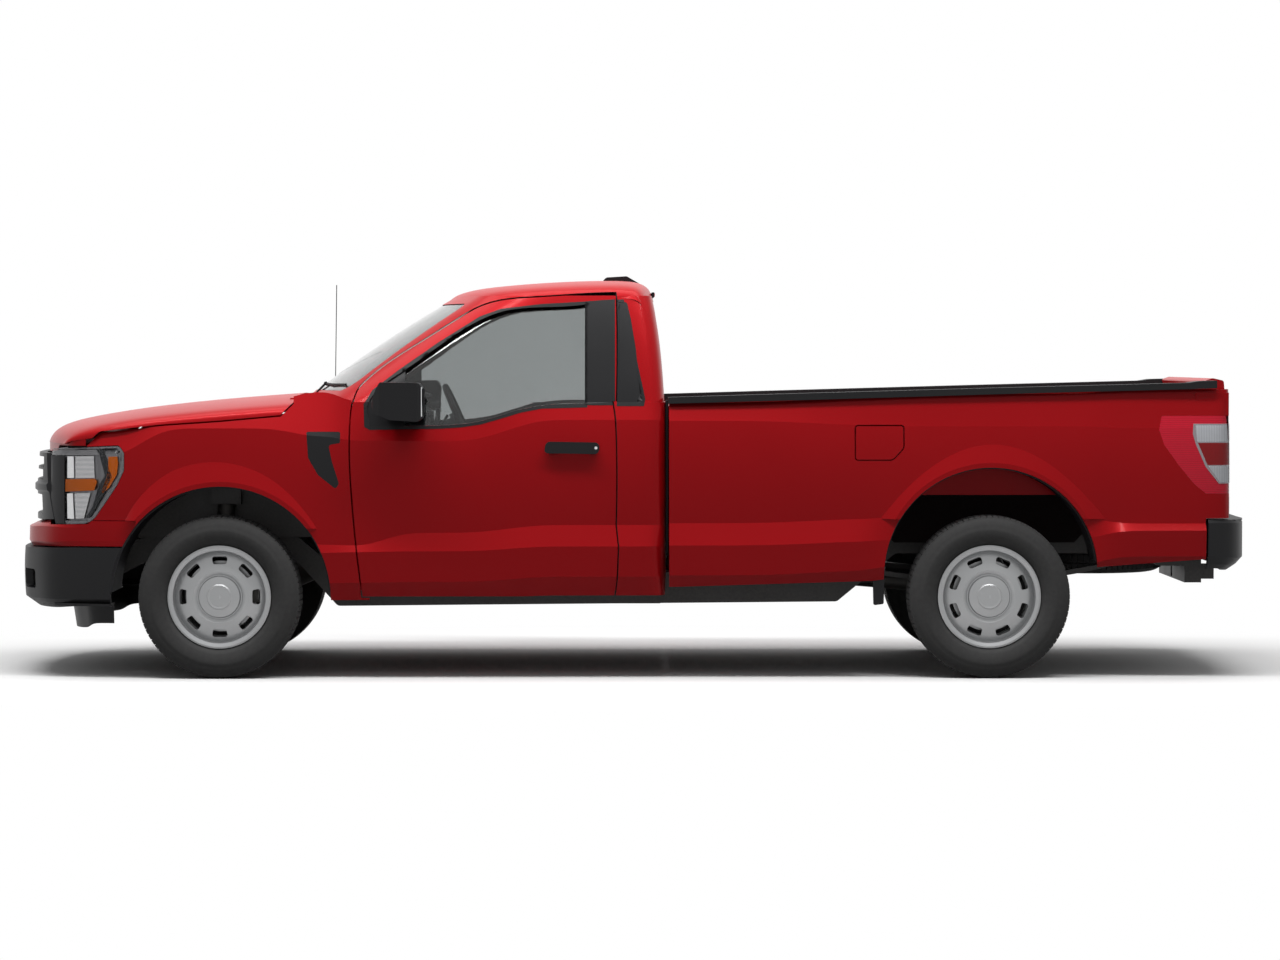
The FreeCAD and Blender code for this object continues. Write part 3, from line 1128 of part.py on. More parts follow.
# Cab interior
SEAT_SPANS = ((-700, -200 - SEAT_GAP), (-200, 200), (200 + SEAT_GAP, 700))


def make_seat_cushions():
    """Three-part bench, padded."""
    parts = []
    for y0, y1 in SEAT_SPANS:
        cushion = prism([(1130, 700, 40), (1140, 850, 60), (1640, 820, 40), (1640, 700, 20)], "xz", y0, y1)
        parts.append(solids(cushion))
    return Part.makeCompound(parts)


def make_seat_backs():
    parts = []
    for y0, y1 in SEAT_SPANS:
        back = prism([(1650, 730, 30), (1780, 730, 40), (1960, 1420, 40), (1870, 1430, 50), (1680, 980, 60)],
                     "xz", y0, y1)
        parts.append(back)
    for y0, y1 in ((-590, -330), (330, 590)):
        rest = prism([(1880, 1448, 20), (1960, 1446, 20), (1985, 1600, 30), (1900, 1606, 40)], "xz", y0, y1)
        post = rod((1925, (y0 + y1) / 2 - 60, 1400), (1935, (y0 + y1) / 2 - 60, 1500), 7)
        other = rod((1925, (y0 + y1) / 2 + 60, 1400), (1935, (y0 + y1) / 2 + 60, 1500), 7)
        index = 0 if y0 < 0 else 2
        parts[index] = solids(parts[index].fuse([rest, post, other]))
    return Part.makeCompound(parts)


def make_seat_frame():
    floor = CAB_FLOOR[1] + SEAT_GAP
    risers = []
    for y in (-660, -270, 210, 600):
        low = box(1200, 1740, y, y + 60, floor, 700 - SEAT_GAP)
        risers.append(low.fuse(box(1660, 1740, y, y + 60, floor, 730 - SEAT_GAP)))
    return Part.makeCompound(risers)


def make_dashboard():
    outline = [(600, 1262, 10), (640, 1290, 30), (860, 1276, 50), (960, 1200, 50), (940, 1050, 60), (860, 960, 50),
               (700, 900, 30), (600, 900)]
    wide = 780 - SEAT_GAP
    return prism(outline, "xz", -wide, wide)


WHEEL_CENTRE = (1105.0, -390.0, 1190.0)
WHEEL_TILT = 24.0


def column_axis():
    angle = math.radians(WHEEL_TILT)
    return Vector(math.cos(angle), 0, math.sin(angle))


def make_steering_wheel():
    """Rim, hub and three spokes, built flat and tilted to the column."""
    section = [(180 + 15 * math.cos(a), 15 * math.sin(a)) for a in [math.pi * (0.25 + k / 4) for k in range(8)]]
    rim = revolved(section, 0, 0, 0)
    hub = disc(0, -6, 38, 0, 52)
    spokes = [box(-172, -40, -4, 12, -22, 22), box(40, 172, -4, 12, -22, 22), box(-22, 22, -4, 12, -172, -40)]
    wheel = solids(fuse([rim, hub] + spokes))
    wheel.rotate(Vector(0, 0, 0), Vector(0, 0, 1), 90)
    wheel.rotate(Vector(0, 0, 0), Vector(0, 1, 0), -WHEEL_TILT)
    wheel.translate(Vector(*WHEEL_CENTRE))
    return wheel


def make_steering_column():
    centre, axis = Vector(*WHEEL_CENTRE), column_axis()
    end = centre - axis * (38 + SEAT_GAP)
    shroud = Part.makeCylinder(34, 190, end - axis * 190, axis)
    dash = make_dashboard()
    return solids(shroud.cut(dash))


def make_roof_lamp():
    """Rounded bump on the roof with the high stop lamp behind it."""
    bump = prism([(1770, 1850), (1800, 1882, 20), (1900, 1888, 20), (1965, 1850)], "xz", -60, 60)
    bump = bump.cut(net_solid(roof_grid(-SEAT_GAP), roof_grid(120), (), 3, 3))
    bump = bump.cut(mirrored(net_solid(roof_grid(-SEAT_GAP), roof_grid(120), (), 3, 3)))
    return solids(bump)


# All pieces by the name of their node
NODES = {
    "frame": make_frame, "engine_block": make_engine, "driveline": make_driveline, "rear_axle": make_rear_axle,
    "leaf_springs": make_leaf_springs, "front_suspension": make_front_suspension, "exhaust": make_exhaust,
    "fuel_tank": make_fuel_tank, "spare_wheel": make_spare_wheel,
    "front_structure": make_front_structure, "wheel_liners": make_wheel_liners, "fenders": make_fenders,
    "side_trims": make_side_trims, "fascia_cap": make_fascia, "front_bumper": make_bumper,
    "grille": make_grille, "headlamps": make_headlamps, "hood": make_hood,
    "cab_shell": make_cab_shell, "cab_floor": make_cab_floor, "cab_glass": make_cab_glass,
    "cowl_panel": make_cowl, "roof_lamp": make_roof_lamp,
    "bed_box": make_bed_box, "bed_sides": make_bed_sides, "rail_caps": make_rail_caps,
    "tailgate": make_tailgate, "tailgate_handle": make_tailgate_handle, "tail_lamps": make_tail_lamps,
    "rear_bumper": make_rear_bumper, "fuel_door": make_fuel_door,
    "seat_cushions": make_seat_cushions, "seat_backs": make_seat_backs, "seat_frame": make_seat_frame,
    "dashboard": make_dashboard, "steering_column": make_steering_column,
    "steering_wheel": make_steering_wheel,
}
PAIRS = {"door": make_door, "door_glass": make_door_glass, "door_trim": make_door_trim, "knuckle": make_knuckle}


def write(name, shape):
    moved = shape.copy()
    moved.translate(Vector(-MIDDLE, 0, 0))
    moved.exportStep("parts/" + name + ".step")


def main():
    os.makedirs("parts", exist_ok=True)
    for name, make in NODES.items():
        write(name, make())
    for name, make in PAIRS.items():
        shape = make()
        write(name + "_left", shape)
        write(name + "_right", mirrored(shape))
    for axle, x, turn in (("front", 0.0, 0.0), ("rear", WHEELBASE, 180.0 / SLOT_COUNT)):
        tyre, rim = make_tyre(x, -TRACK / 2), make_rim(x, -TRACK / 2, turn)
        for side in ("left", "right"):
            write(f"tyre_{axle}_{side}", tyre if side == "left" else mirrored(tyre))
            write(f"rim_{axle}_{side}", rim if side == "left" else mirrored(rim))


if __name__ == "__main__":
    main()
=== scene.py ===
# %% [markdown]
# # A pickup truck in a photo studio
# The truck comes from its construction as a fixed frame of named nodes. Everything that
# follows gives those nodes their paint, rubber and glass, and adds the small things that a
# truck shows up close: tread, seals, lamp chambers, plates and padded seats. Loading comes
# first, because every later piece is placed on these nodes.

# %% Load the truck
import math

import bpy
from mathutils import Matrix, Vector


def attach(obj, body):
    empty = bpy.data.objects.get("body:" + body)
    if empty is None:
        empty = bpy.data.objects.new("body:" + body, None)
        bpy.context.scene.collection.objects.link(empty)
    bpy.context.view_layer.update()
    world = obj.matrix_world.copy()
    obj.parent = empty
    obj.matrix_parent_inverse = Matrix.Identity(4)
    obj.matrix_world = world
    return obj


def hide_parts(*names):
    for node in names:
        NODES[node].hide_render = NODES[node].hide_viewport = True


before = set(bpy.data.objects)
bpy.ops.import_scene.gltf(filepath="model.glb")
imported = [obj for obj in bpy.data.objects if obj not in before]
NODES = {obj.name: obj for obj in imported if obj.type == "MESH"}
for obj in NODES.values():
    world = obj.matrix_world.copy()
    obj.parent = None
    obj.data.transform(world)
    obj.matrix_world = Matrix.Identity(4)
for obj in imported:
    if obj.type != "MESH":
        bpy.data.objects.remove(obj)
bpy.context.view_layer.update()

# %% [markdown]
# ## The places on the truck
# Lengths along the truck are easiest to think of from the front axle backwards, as a body
# shop measures them. The frame's zero is under the middle of the truck instead, so one
# helper turns a place measured from the front axle, in millimetres, into a place in the
# scene, in metres.

# %% Places
WHEELBASE = 3584.0
FRONT_OVERHANG, REAR_OVERHANG = 1003.0, 1243.0
MIDDLE = (WHEELBASE + REAR_OVERHANG - FRONT_OVERHANG) / 2
TRACK = 1717.0
TYRE_RADIUS = 380.0


def at(x, y, z):
    """A scene place from millimetres behind the front axle, to the right, and up."""
    return Vector(((x - MIDDLE) / 1000.0, y / 1000.0, z / 1000.0))


print("the middle of the truck is", MIDDLE, "mm behind the front axle")

# %% [markdown]
# ## Camera
# The photograph was taken from twenty metres away with a long lens, nearly square on to
# the driver's side and a metre and a half above the ground. A far camera keeps both
# wheels the same size, which is why the picture reads almost like a drawing.

# %% Camera
LOOKS_DOWN, LOOKS_ASIDE = 1.685, 0.483


def added(name, data):
    """A new object in the scene for a mesh, a curve, a lamp or a camera."""
    obj = bpy.data.objects.new(name, data)
    bpy.context.scene.collection.objects.link(obj)
    return obj


camera = added("camera", bpy.data.cameras.new("camera"))
camera.location = at(WHEELBASE / 2, -20481, 1499)
camera.data.sensor_width = 36.0
camera.data.lens = 118.2
camera.data.clip_end = 200.0
camera.rotation_euler = (math.radians(90 - LOOKS_DOWN), 0, math.radians(-LOOKS_ASIDE))
bpy.context.scene.camera = camera
print("camera at", camera.location)

# %% [markdown]
# ## Hands
# Modelling by hand in a script goes wrong when something else is still selected. So each
# helper first selects just the object it works on. A finished piece keeps its place in its
# mesh and not in its object, because patterns are measured from the object's own zero.

# %% Selecting and settling


def unselect():
    """Leaves nothing selected."""
    if bpy.context.object and bpy.context.object.mode != "OBJECT":
        bpy.ops.object.mode_set(mode="OBJECT")
    for other in bpy.context.selected_objects:
        other.select_set(False)


def only(obj):
    """Makes obj the one selected and active object."""
    unselect()
    obj.select_set(True)
    bpy.context.view_layer.objects.active = obj


def settled(obj):
    """Puts an object's place, turn and scale into its mesh."""
    only(obj)
    bpy.ops.object.transform_apply(location=True, rotation=True, scale=True)
    return obj


def named(name):
    """Names the new active object and settles it."""
    obj = bpy.context.object
    obj.name = obj.data.name = name
    return settled(obj)


def twin_of(obj, name):
    """A copy of an object with its own mesh."""
    only(obj)
    bpy.ops.object.duplicate()
    twin = bpy.context.object
    twin.name = twin.data.name = name
    return twin


# %% [markdown]
# ## Blocks and bars
# Small housings start as a box and small shafts as a cylinder, added at their real size
# and place. Both are only a start: an inset, a bevel or a cut makes the piece of them.

# %% Block and bar


def block(name, low, high):
    """A box between two corners given in millimetres from the front axle."""
    a, b = at(*low), at(*high)
    unselect()
    bpy.ops.mesh.primitive_cube_add(size=1, location=(a + b) / 2)
    bpy.context.object.scale = b - a
    return named(name)


def round_bar(name, start, end, radius, sides=24):
    """A straight bar between two places."""
    a, b = at(*start), at(*end)
    unselect()
    bpy.ops.mesh.primitive_cylinder_add(vertices=sides, radius=radius / 1000.0, depth=(b - a).length,
                                        location=(a + b) / 2)
    bar = bpy.context.object
    bar.rotation_mode = "QUATERNION"
    bar.rotation_quaternion = (b - a).to_track_quat("Z", "Y")
    return named(name)


# %% [markdown]
# ## Picking faces and finishing edges
# A face is picked by where it is and where it looks, which goes on working when the mesh
# behind it changes. Sharp corners look like cardboard, so nearly every piece gets a small
# bevel, and smooth shading wherever two faces meet at a low angle.

# %% Faces and edges
SHARP = 40


def edit_all(obj):
    """Goes into edit mode with all of a mesh selected."""
    only(obj)
    bpy.ops.object.mode_set(mode="EDIT")
    bpy.ops.mesh.select_all(action="SELECT")


def done():
    bpy.ops.object.mode_set(mode="OBJECT")


def facing_out():
    """Turns the faces of the mesh in edit mode outwards, and leaves edit mode."""
    bpy.ops.mesh.select_all(action="SELECT")
    bpy.ops.mesh.normals_make_consistent(inside=False)
    done()


def pick_faces(obj, wanted):
    """Selects the faces for which wanted(centre, normal) is true, and goes into edit mode."""
    edit_all(obj)
    bpy.ops.mesh.select_all(action="DESELECT")
    bpy.ops.mesh.select_mode(type="FACE")
    done()
    for face in obj.data.polygons:
        face.select = wanted(face.center, face.normal)
    bpy.ops.object.mode_set(mode="EDIT")


def modify(obj, kind, **settings):
    """Adds one modifier, sets it and applies it."""
    only(obj)
    modifier = obj.modifiers.new(kind.lower(), kind)
    for key, value in settings.items():
        setattr(modifier, key, value)
    bpy.ops.object.modifier_apply(modifier=modifier.name)


def bevelled(obj, width, segments=3):
    modify(obj, "BEVEL", width=width / 1000.0, segments=segments, limit_method="ANGLE",
           angle_limit=math.radians(SHARP))
    return obj


def smooth(obj, angle=SHARP):
    only(obj)
    bpy.ops.object.shade_smooth_by_angle(angle=math.radians(angle))
    return obj


# %% [markdown]
# ## Plates and mirror images
# Many parts of a car are an outline with a depth, so one helper draws the outline as a
# single face and extrudes it. It can be drawn from the side, from the end or from above.
# What is on the left is made once and mirrored, and the mirror image needs its faces
# turned round again.

# %% Outlined plate and mirror image
VIEWS = {"xz": lambda p, depth: at(p[0], depth, p[1]), "yz": lambda p, depth: at(depth, p[0], p[1]),
         "xy": lambda p, depth: at(p[0], p[1], depth)}


def outline_plate(name, points, view, low, high):
    """A plate from low to high with a straight-sided outline, in millimetres."""
    mesh = bpy.data.meshes.new(name)
    mesh.from_pydata([VIEWS[view](p, low) for p in points], [], [tuple(range(len(points)))])
    obj = added(name, mesh)
    edit_all(obj)
    way = VIEWS[view](points[0], high) - VIEWS[view](points[0], low)
    bpy.ops.mesh.extrude_region_move(TRANSFORM_OT_translate={"value": way})
    facing_out()
    return obj


def across(obj, name):
    """A mirror image of obj on the other side of the truck, with its own mesh."""
    twin = twin_of(obj, name)
    twin.scale = (1, -1, 1)
    edit_all(settled(twin))
    facing_out()
    return twin


# %% [markdown]
# ## Shader sums as plain Python
# A node tree for a pattern is a sum written with boxes and wires. It's easier to read as a
# sum, so this class wraps one socket, and adding or multiplying it adds the Math node.

# %% A socket that does arithmetic


class Value:
    """One socket of a node tree, for writing sums."""

    def __init__(self, owner, socket):
        self.owner, self.socket = owner, socket

    def math(self, operation, other=None, clamp=False):
        inputs = {0: self} if other is None else {0: self, 1: other}
        return self.owner.node("ShaderNodeMath", {"operation": operation, "use_clamp": clamp}, inputs)

    def __add__(self, other):
        return self.math("ADD", other)

    __radd__ = __add__

    def __mul__(self, other):
        return self.math("MULTIPLY", other)

    __rmul__ = __mul__

    def __sub__(self, other):
        return self.math("SUBTRACT", other)

    def __rsub__(self, other):
        return self.owner.node("ShaderNodeMath", {"operation": "SUBTRACT"}, {0: other, 1: self})

    def __gt__(self, other):
        return self.math("GREATER_THAN", other)

    def __lt__(self, other):
        return self.math("LESS_THAN", other)

    def larger(self, other):
        return self.math("MAXIMUM", other)

    def absolute(self):
        return self.math("ABSOLUTE")

    def sine(self):
        return self.math("SINE")

    def clamped(self):
        return self.math("ADD", 0.0, clamp=True)

    def root(self):
        return self.math("SQRT")


# %% [markdown]
# ## Materials by one method
# Every node comes from the same method, which takes its kind, its settings and what goes
# into its sockets. A material adds the few patterns that all finishes here are made of: a
# noise, a blend of two colours and a bump. All of them are measured in metres on the truck.

# %% Nodes and paints


class Nodes:
    """The node tree of a material or of the world."""

    def __init__(self, tree):
        self.tree = tree

    def feed(self, socket, value):
        """Links a value to a socket, or sets the socket to a number, a vector or a colour."""
        if isinstance(value, Value):
            self.tree.links.new(value.socket, socket)
        else:
            socket.default_value = (*value, 1.0) if socket.type == "RGBA" else value

    def node(self, kind, settings=None, inputs=None, out=0):
        """Adds a node. Settings come first, then values or links for its sockets."""
        made = self.tree.nodes.new(kind)
        for key, value in (settings or {}).items():
            setattr(made, key, value)
        for key, value in (inputs or {}).items():
            self.feed(made.inputs[key], value)
        return Value(self, made.outputs[out])

    def parts(self, vector):
        """The x, y and z of a vector."""
        split = self.node("ShaderNodeSeparateXYZ", None, {0: vector})
        return [Value(self, output) for output in split.socket.node.outputs]


class Paint(Nodes):
    """One material, made from the principled shader."""

    def __init__(self, name, color, roughness=0.5, metallic=0.0, **sockets):
        self.material = bpy.data.materials.new(name)
        self.material.use_nodes = True
        self.material.diffuse_color = (*color, 1.0)
        super().__init__(self.material.node_tree)
        self.shader = self.tree.nodes["Principled BSDF"]
        sockets.update(base_color=color, roughness=roughness, metallic=metallic)
        for key, value in sockets.items():
            self.set(key.replace("_", " ").title().replace("Ior", "IOR"), value)

    def set(self, socket, value):
        self.feed(self.shader.inputs[socket], value)

    def place(self):
        return self.node("ShaderNodeTexCoord", out="Object")

    def axes(self):
        """The three coordinates in metres, in the truck's own frame."""
        return self.parts(self.place())

    def noise(self, scale, detail=3.0):
        return self.node("ShaderNodeTexNoise", None,
                         {"Vector": self.place(), "Scale": scale, "Detail": detail}, "Fac")

    def blend(self, factor, first, second):
        """Mixes two colours."""
        return self.node("ShaderNodeMix", {"data_type": "RGBA"}, {0: factor, 6: first, 7: second}, 2)

    def bump(self, height, strength, depth):
        """Lets a pattern catch the light as if it were depth metres deep."""
        self.set("Normal", self.node("ShaderNodeBump", None,
                                     {"Height": height, "Strength": strength, "Distance": depth}))


def dress(paint, *names):
    """Gives CAD nodes a finish."""
    for name in names:
        obj = NODES[name]
        if not obj.material_slots:
            obj.data.materials.append(paint.material)
        for material_slot in obj.material_slots:
            material_slot.material = paint.material


# %% [markdown]
# ## Paint
# Metallic red is three things at once: a deep colour, tiny flakes that turn the light a
# little every which way, and a hard clear coat on top. The flakes are a very fine cell
# pattern in the roughness and the bump, and the coat is the shader's own coat layer. A
# flat red would do from far away, but it stays dull where the light grazes it.

# %% Red paint
RED_DEEP, RED_LIGHT, RED_SHEEN = (0.33, 0.0028, 0.005), (0.40, 0.0045, 0.008), (1.0, 0.16, 0.18)
FLAKES_PER_METRE = 1400.0
RED_METAL, RED_COAT = 0.12, 0.09


def flaked(name, **sockets):
    """Red paint, with its flakes and its colour for the finishes that cover part of it."""
    paint = Paint(name, RED_LIGHT, 0.32, RED_METAL, coat_roughness=0.14, specular_ior_level=0.17,
                  specular_tint=RED_SHEEN, **sockets)
    flakes = paint.node("ShaderNodeTexVoronoi", {"feature": "F1"},
                        {"Vector": paint.place(), "Scale": FLAKES_PER_METRE})
    return paint, flakes, paint.blend(paint.noise(2.2, 2.0) * 0.5 + flakes * 0.25, RED_LIGHT, RED_DEEP)


red, red_flakes, red_colour = flaked("red_metallic_paint", coat_weight=RED_COAT)
red.set("Base Color", red_colour)
red.set("Roughness", red_flakes * 0.12 + 0.26)
red.bump(red_flakes, 0.05, 0.0002)
print("paint", red.material.name)

# %% [markdown]
# ## Undercoat
# Inside the wheel arches and under the bed floor the red is covered with black undercoat.
# One pressing carries both, so the finish asks how near the middle of the truck and how
# low a place is. Cutting the panel in two would do it as well, but leave a seam.

# %% Red outside, black undercoat within


def covered(paint, flakes, mask, rougher, base):
    """Takes the metal and the coat of a red paint away where mask is 1, and roughens it."""
    paint.set("Roughness", mask * rougher + flakes * 0.12 + base)
    paint.set("Metallic", (1.0 - mask) * RED_METAL)
    paint.set("Coat Weight", (1.0 - mask) * RED_COAT)


def undercoated(name, half_width, top):
    """Red paint, and undercoat below the height top and nearer the middle than half_width."""
    paint, flakes, colour = flaked(name)
    x, y, z = paint.axes()
    within = (y.absolute() < half_width) * (z < top)
    lumps = paint.noise(160.0)
    coat = paint.blend(lumps, (0.010, 0.010, 0.011), (0.022, 0.021, 0.020))
    paint.set("Base Color", paint.blend(within, colour, coat))
    covered(paint, flakes, within, 0.55, 0.26)
    paint.bump(lumps * within + flakes * 0.04, 0.25, 0.0008)
    return paint


fender_paint = undercoated("fender_paint_and_undercoat", 0.905, 0.98)
bed_paint = undercoated("bed_paint_and_undercoat", 0.925, 0.845)
print("two paints with undercoat")

# %% [markdown]
# ## Plastics
# Bumper covers and trim are moulded with a fine leathery grain. The grain is a small
# noise in the bump; a larger one varies the sheen a little, as handling and weather do.
# Gloss black has no grain, only the faint waves that a sprayed surface keeps.

# %% Black plastics


def grained(name, color, roughness, scale=420.0, depth=0.0005):
    paint = Paint(name, color, roughness, specular_ior_level=0.2)
    grain, patches = paint.noise(scale), paint.noise(3.0, 2.0)
    lighter = tuple(min(1.0, c * 1.5 + 0.004) for c in color)
    paint.set("Base Color", paint.blend(patches * 0.6 + grain * 0.25, color, lighter))
    paint.set("Roughness", patches * 0.12 + roughness - 0.04)
    paint.bump(grain, 0.35, depth)
    return paint


bumper_black = grained("bumper_black_plastic", (0.008, 0.008, 0.009), 0.46)
trim_black = grained("trim_black_plastic", (0.006, 0.006, 0.007), 0.38, 700.0, 0.0003)
cab_plastic = grained("cab_grey_plastic", (0.035, 0.036, 0.038), 0.6, 500.0)
piano_black = Paint("gloss_black", (0.006, 0.006, 0.007), 0.12, coat_weight=0.6)
orange_peel = piano_black.noise(60.0, 2.0)
piano_black.set("Roughness", orange_peel * 0.06 + 0.08)
piano_black.bump(orange_peel, 0.03, 0.0005)
print("three grained plastics and a gloss one")

# %% [markdown]
# ## Metals under the truck
# The frame and axles are dipped in black wax over steel, so they're dark, a bit uneven
# and dusty where water dries. Castings are rougher and greyer. The exhaust is bare steel
# that the heat has tinted. One helper makes them all, since they differ only in numbers.

# %% Metals


def weathered(name, color, roughness, metallic, dust=(0.10, 0.09, 0.08), amount=0.35):
    paint = Paint(name, color, roughness, metallic)
    broad, fine = paint.noise(5.0, 4.0), paint.noise(90.0)
    paint.set("Base Color", paint.blend((broad * fine * amount * 2.0).clamped(), color, dust))
    paint.set("Roughness", broad * 0.2 + roughness - 0.1)
    paint.bump(fine, 0.3, 0.0006)
    return paint


frame_steel = weathered("waxed_frame_steel", (0.018, 0.018, 0.019), 0.5, 0.3)
cast_iron = weathered("cast_iron", (0.07, 0.068, 0.065), 0.62, 0.6)
alloy_cast = weathered("cast_alloy", (0.30, 0.30, 0.29), 0.5, 0.7)
pipe_steel = weathered("heated_pipe_steel", (0.34, 0.31, 0.27), 0.4, 0.9, (0.16, 0.11, 0.07), 0.6)
wheel_silver = Paint("wheel_silver_paint", (0.33, 0.335, 0.34), 0.34, 0.8, coat_weight=0.2)
speckle = wheel_silver.noise(900.0, 2.0)
wheel_silver.set("Roughness", speckle * 0.1 + 0.3)
wheel_silver.set("Base Color", wheel_silver.blend(speckle * 0.5, (0.30, 0.305, 0.31), (0.37, 0.375, 0.38)))
print("four weathered metals and the silver of the wheels")

# %% [markdown]
# ## Glass
# Car glass is thin, slightly green-grey, and mirrors the studio. The side and rear panes
# of the cab are clear enough that the seat and the wheel show through. The panes have a
# real thickness, so the shader's own transmission does the rest.

# %% Glass
glass = Paint("tinted_window_glass", (0.46, 0.48, 0.48), 0.0, transmission_weight=1.0, ior=1.45)
haze = glass.noise(1.5, 2.0)
glass.set("Roughness", (haze * 0.02).clamped())
glass.set("Base Color", glass.blend(haze, (0.44, 0.46, 0.46), (0.50, 0.52, 0.52)))
print("paint", glass.material.name)

# %% [markdown]
# ## Which node gets which finish
# The nodes have the right shapes already, so they stay and only take the finish of the
# real part: red on the pressings, black on what is moulded, wax and iron underneath.

# %% Dress the nodes
ROAD_WHEELS = ("front_left", "front_right", "rear_left", "rear_right")
dress(red, "hood", "fascia_cap", "tailgate", "fuel_door")
dress(fender_paint, "fenders")
dress(bed_paint, "bed_sides", "bed_box")
dress(bumper_black, "front_bumper", "rear_bumper", "rail_caps", "wheel_liners")
dress(trim_black, "grille", "side_trims", "cowl_panel", "door_trim_left", "door_trim_right",
      "tailgate_handle", "roof_lamp")
dress(cab_plastic, "dashboard", "steering_column", "steering_wheel", "seat_frame")
dress(frame_steel, "frame", "leaf_springs", "fuel_tank", "front_structure")
dress(cast_iron, "rear_axle", "front_suspension", "knuckle_left", "knuckle_right", "driveline")
dress(alloy_cast, "engine_block")
dress(pipe_steel, "exhaust")
dress(glass, "cab_glass", "door_glass_left", "door_glass_right")
dress(wheel_silver, *("rim_" + wheel for wheel in ROAD_WHEELS))
print("the CAD nodes have their finishes")

# %% [markdown]
# ## Inside and outside of one panel
# A cab shell is painted outside and trimmed in grey inside. A node is one mesh, so the
# finish itself has to tell the two sides apart: a face that looks towards the middle of
# the cab is inside. The dot product of its normal with its place says so.

# %% Two-sided finish for the cab


def lined(name, lining, lining_roughness):
    """Red paint outside, and a lining on the faces that look at the middle of the cab."""
    paint, flakes, colour = flaked(name)
    offset = paint.node("ShaderNodeVectorMath", {"operation": "SUBTRACT"}, {0: paint.place(), 1: CAB_MIDDLE})
    normal = paint.node("ShaderNodeTexCoord", out="Normal")
    towards = paint.node("ShaderNodeVectorMath", {"operation": "DOT_PRODUCT"}, {0: offset, 1: normal}, "Value")
    inside = towards < 0.0
    felt = paint.noise(350.0, 4.0)
    inner = paint.blend(felt, lining, tuple(c * 1.35 for c in lining))
    paint.set("Base Color", paint.blend(inside, colour, inner))
    covered(paint, flakes, inside, lining_roughness - 0.3, 0.27)
    paint.bump(felt * inside + flakes * 0.04, 0.25, 0.0006)
    return paint


CAB_MIDDLE = at(1250, 0, 1120)
dress(lined("paint_and_headlining", (0.035, 0.034, 0.033), 0.85), "cab_shell")
dress(lined("paint_and_carpet", (0.022, 0.022, 0.024), 0.95), "cab_floor")
dress(lined("paint_and_door_lining", (0.022, 0.022, 0.024), 0.6), "door_left", "door_right")
print("linings meet the paint round", CAB_MIDDLE)

# %% [markdown]
# ## A finish and a body
# A finished piece takes two things: its paint, and the body that carries it, so that a door
# takes its own seal along.

# %% Piece, paint and body


def put(obj, paint, body="chassis"):
    """Gives a piece its finish and the body it rides on."""
    obj.data.materials.clear()
    obj.data.materials.append(paint.material)
    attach(obj, body)
    return obj


def on_both_sides(obj, paint, body="chassis"):
    """Finishes a piece made for the left, and its mirror image for the right."""
    twin = across(obj, obj.name.replace("left", "right"))
    put(obj, paint, body)
    put(twin, paint, body.replace("left", "right"))
    return obj, twin


# %% [markdown]
# ## Tyres
# A tyre is a ring of one cross-section, so it's spun about the axle. The tread is the
# spun face of each rib pulled in by an inset and raised by a depth, which leaves a groove
# round each block. Each ring of corners is first turned a little about the axle, so the
# blocks slant and the ribs don't line up, as on a real all-season tread.

# %% One tyre
tyre_rubber = Paint("tyre_rubber", (0.016, 0.016, 0.017), 0.78, specular_ior_level=0.3)
scuff = tyre_rubber.noise(40.0, 4.0)
tyre_rubber.set("Base Color", tyre_rubber.blend(scuff, (0.034, 0.034, 0.035), (0.066, 0.065, 0.064)))
tyre_rubber.set("Roughness", scuff * 0.2 + 0.66)
tyre_rubber.bump(tyre_rubber.noise(500.0), 0.25, 0.0004)

BLOCKS_ROUND = 84
BLOCK_GAP, BLOCK_HEIGHT = 0.0022, 0.0068
# Across the tyre, from the axle, and the share of a block that this ring is turned by.
TREAD = [(-103, 366.5, 0.0), (-70, 371, 0.25), (-63, 371.4, 0.55), (-27, 372.6, 0.95), (-20, 372.7, 0.45),
         (20, 372.7, 0.85), (27, 372.6, 0.35), (63, 371.4, 0.75), (70, 371, 0.05), (103, 366.5, 0.3)]
SIDEWALL = [(-83, 222.5), (-83, 241), (-99, 252), (-110, 262), (-111.5, 266), (-116, 276), (-120, 292),
            (-121.8, 306), (-121.6, 318), (-119.6, 322), (-118.8, 334), (-117.5, 338), (-115, 346),
            (-112.4, 352), (-108.5, 360)]


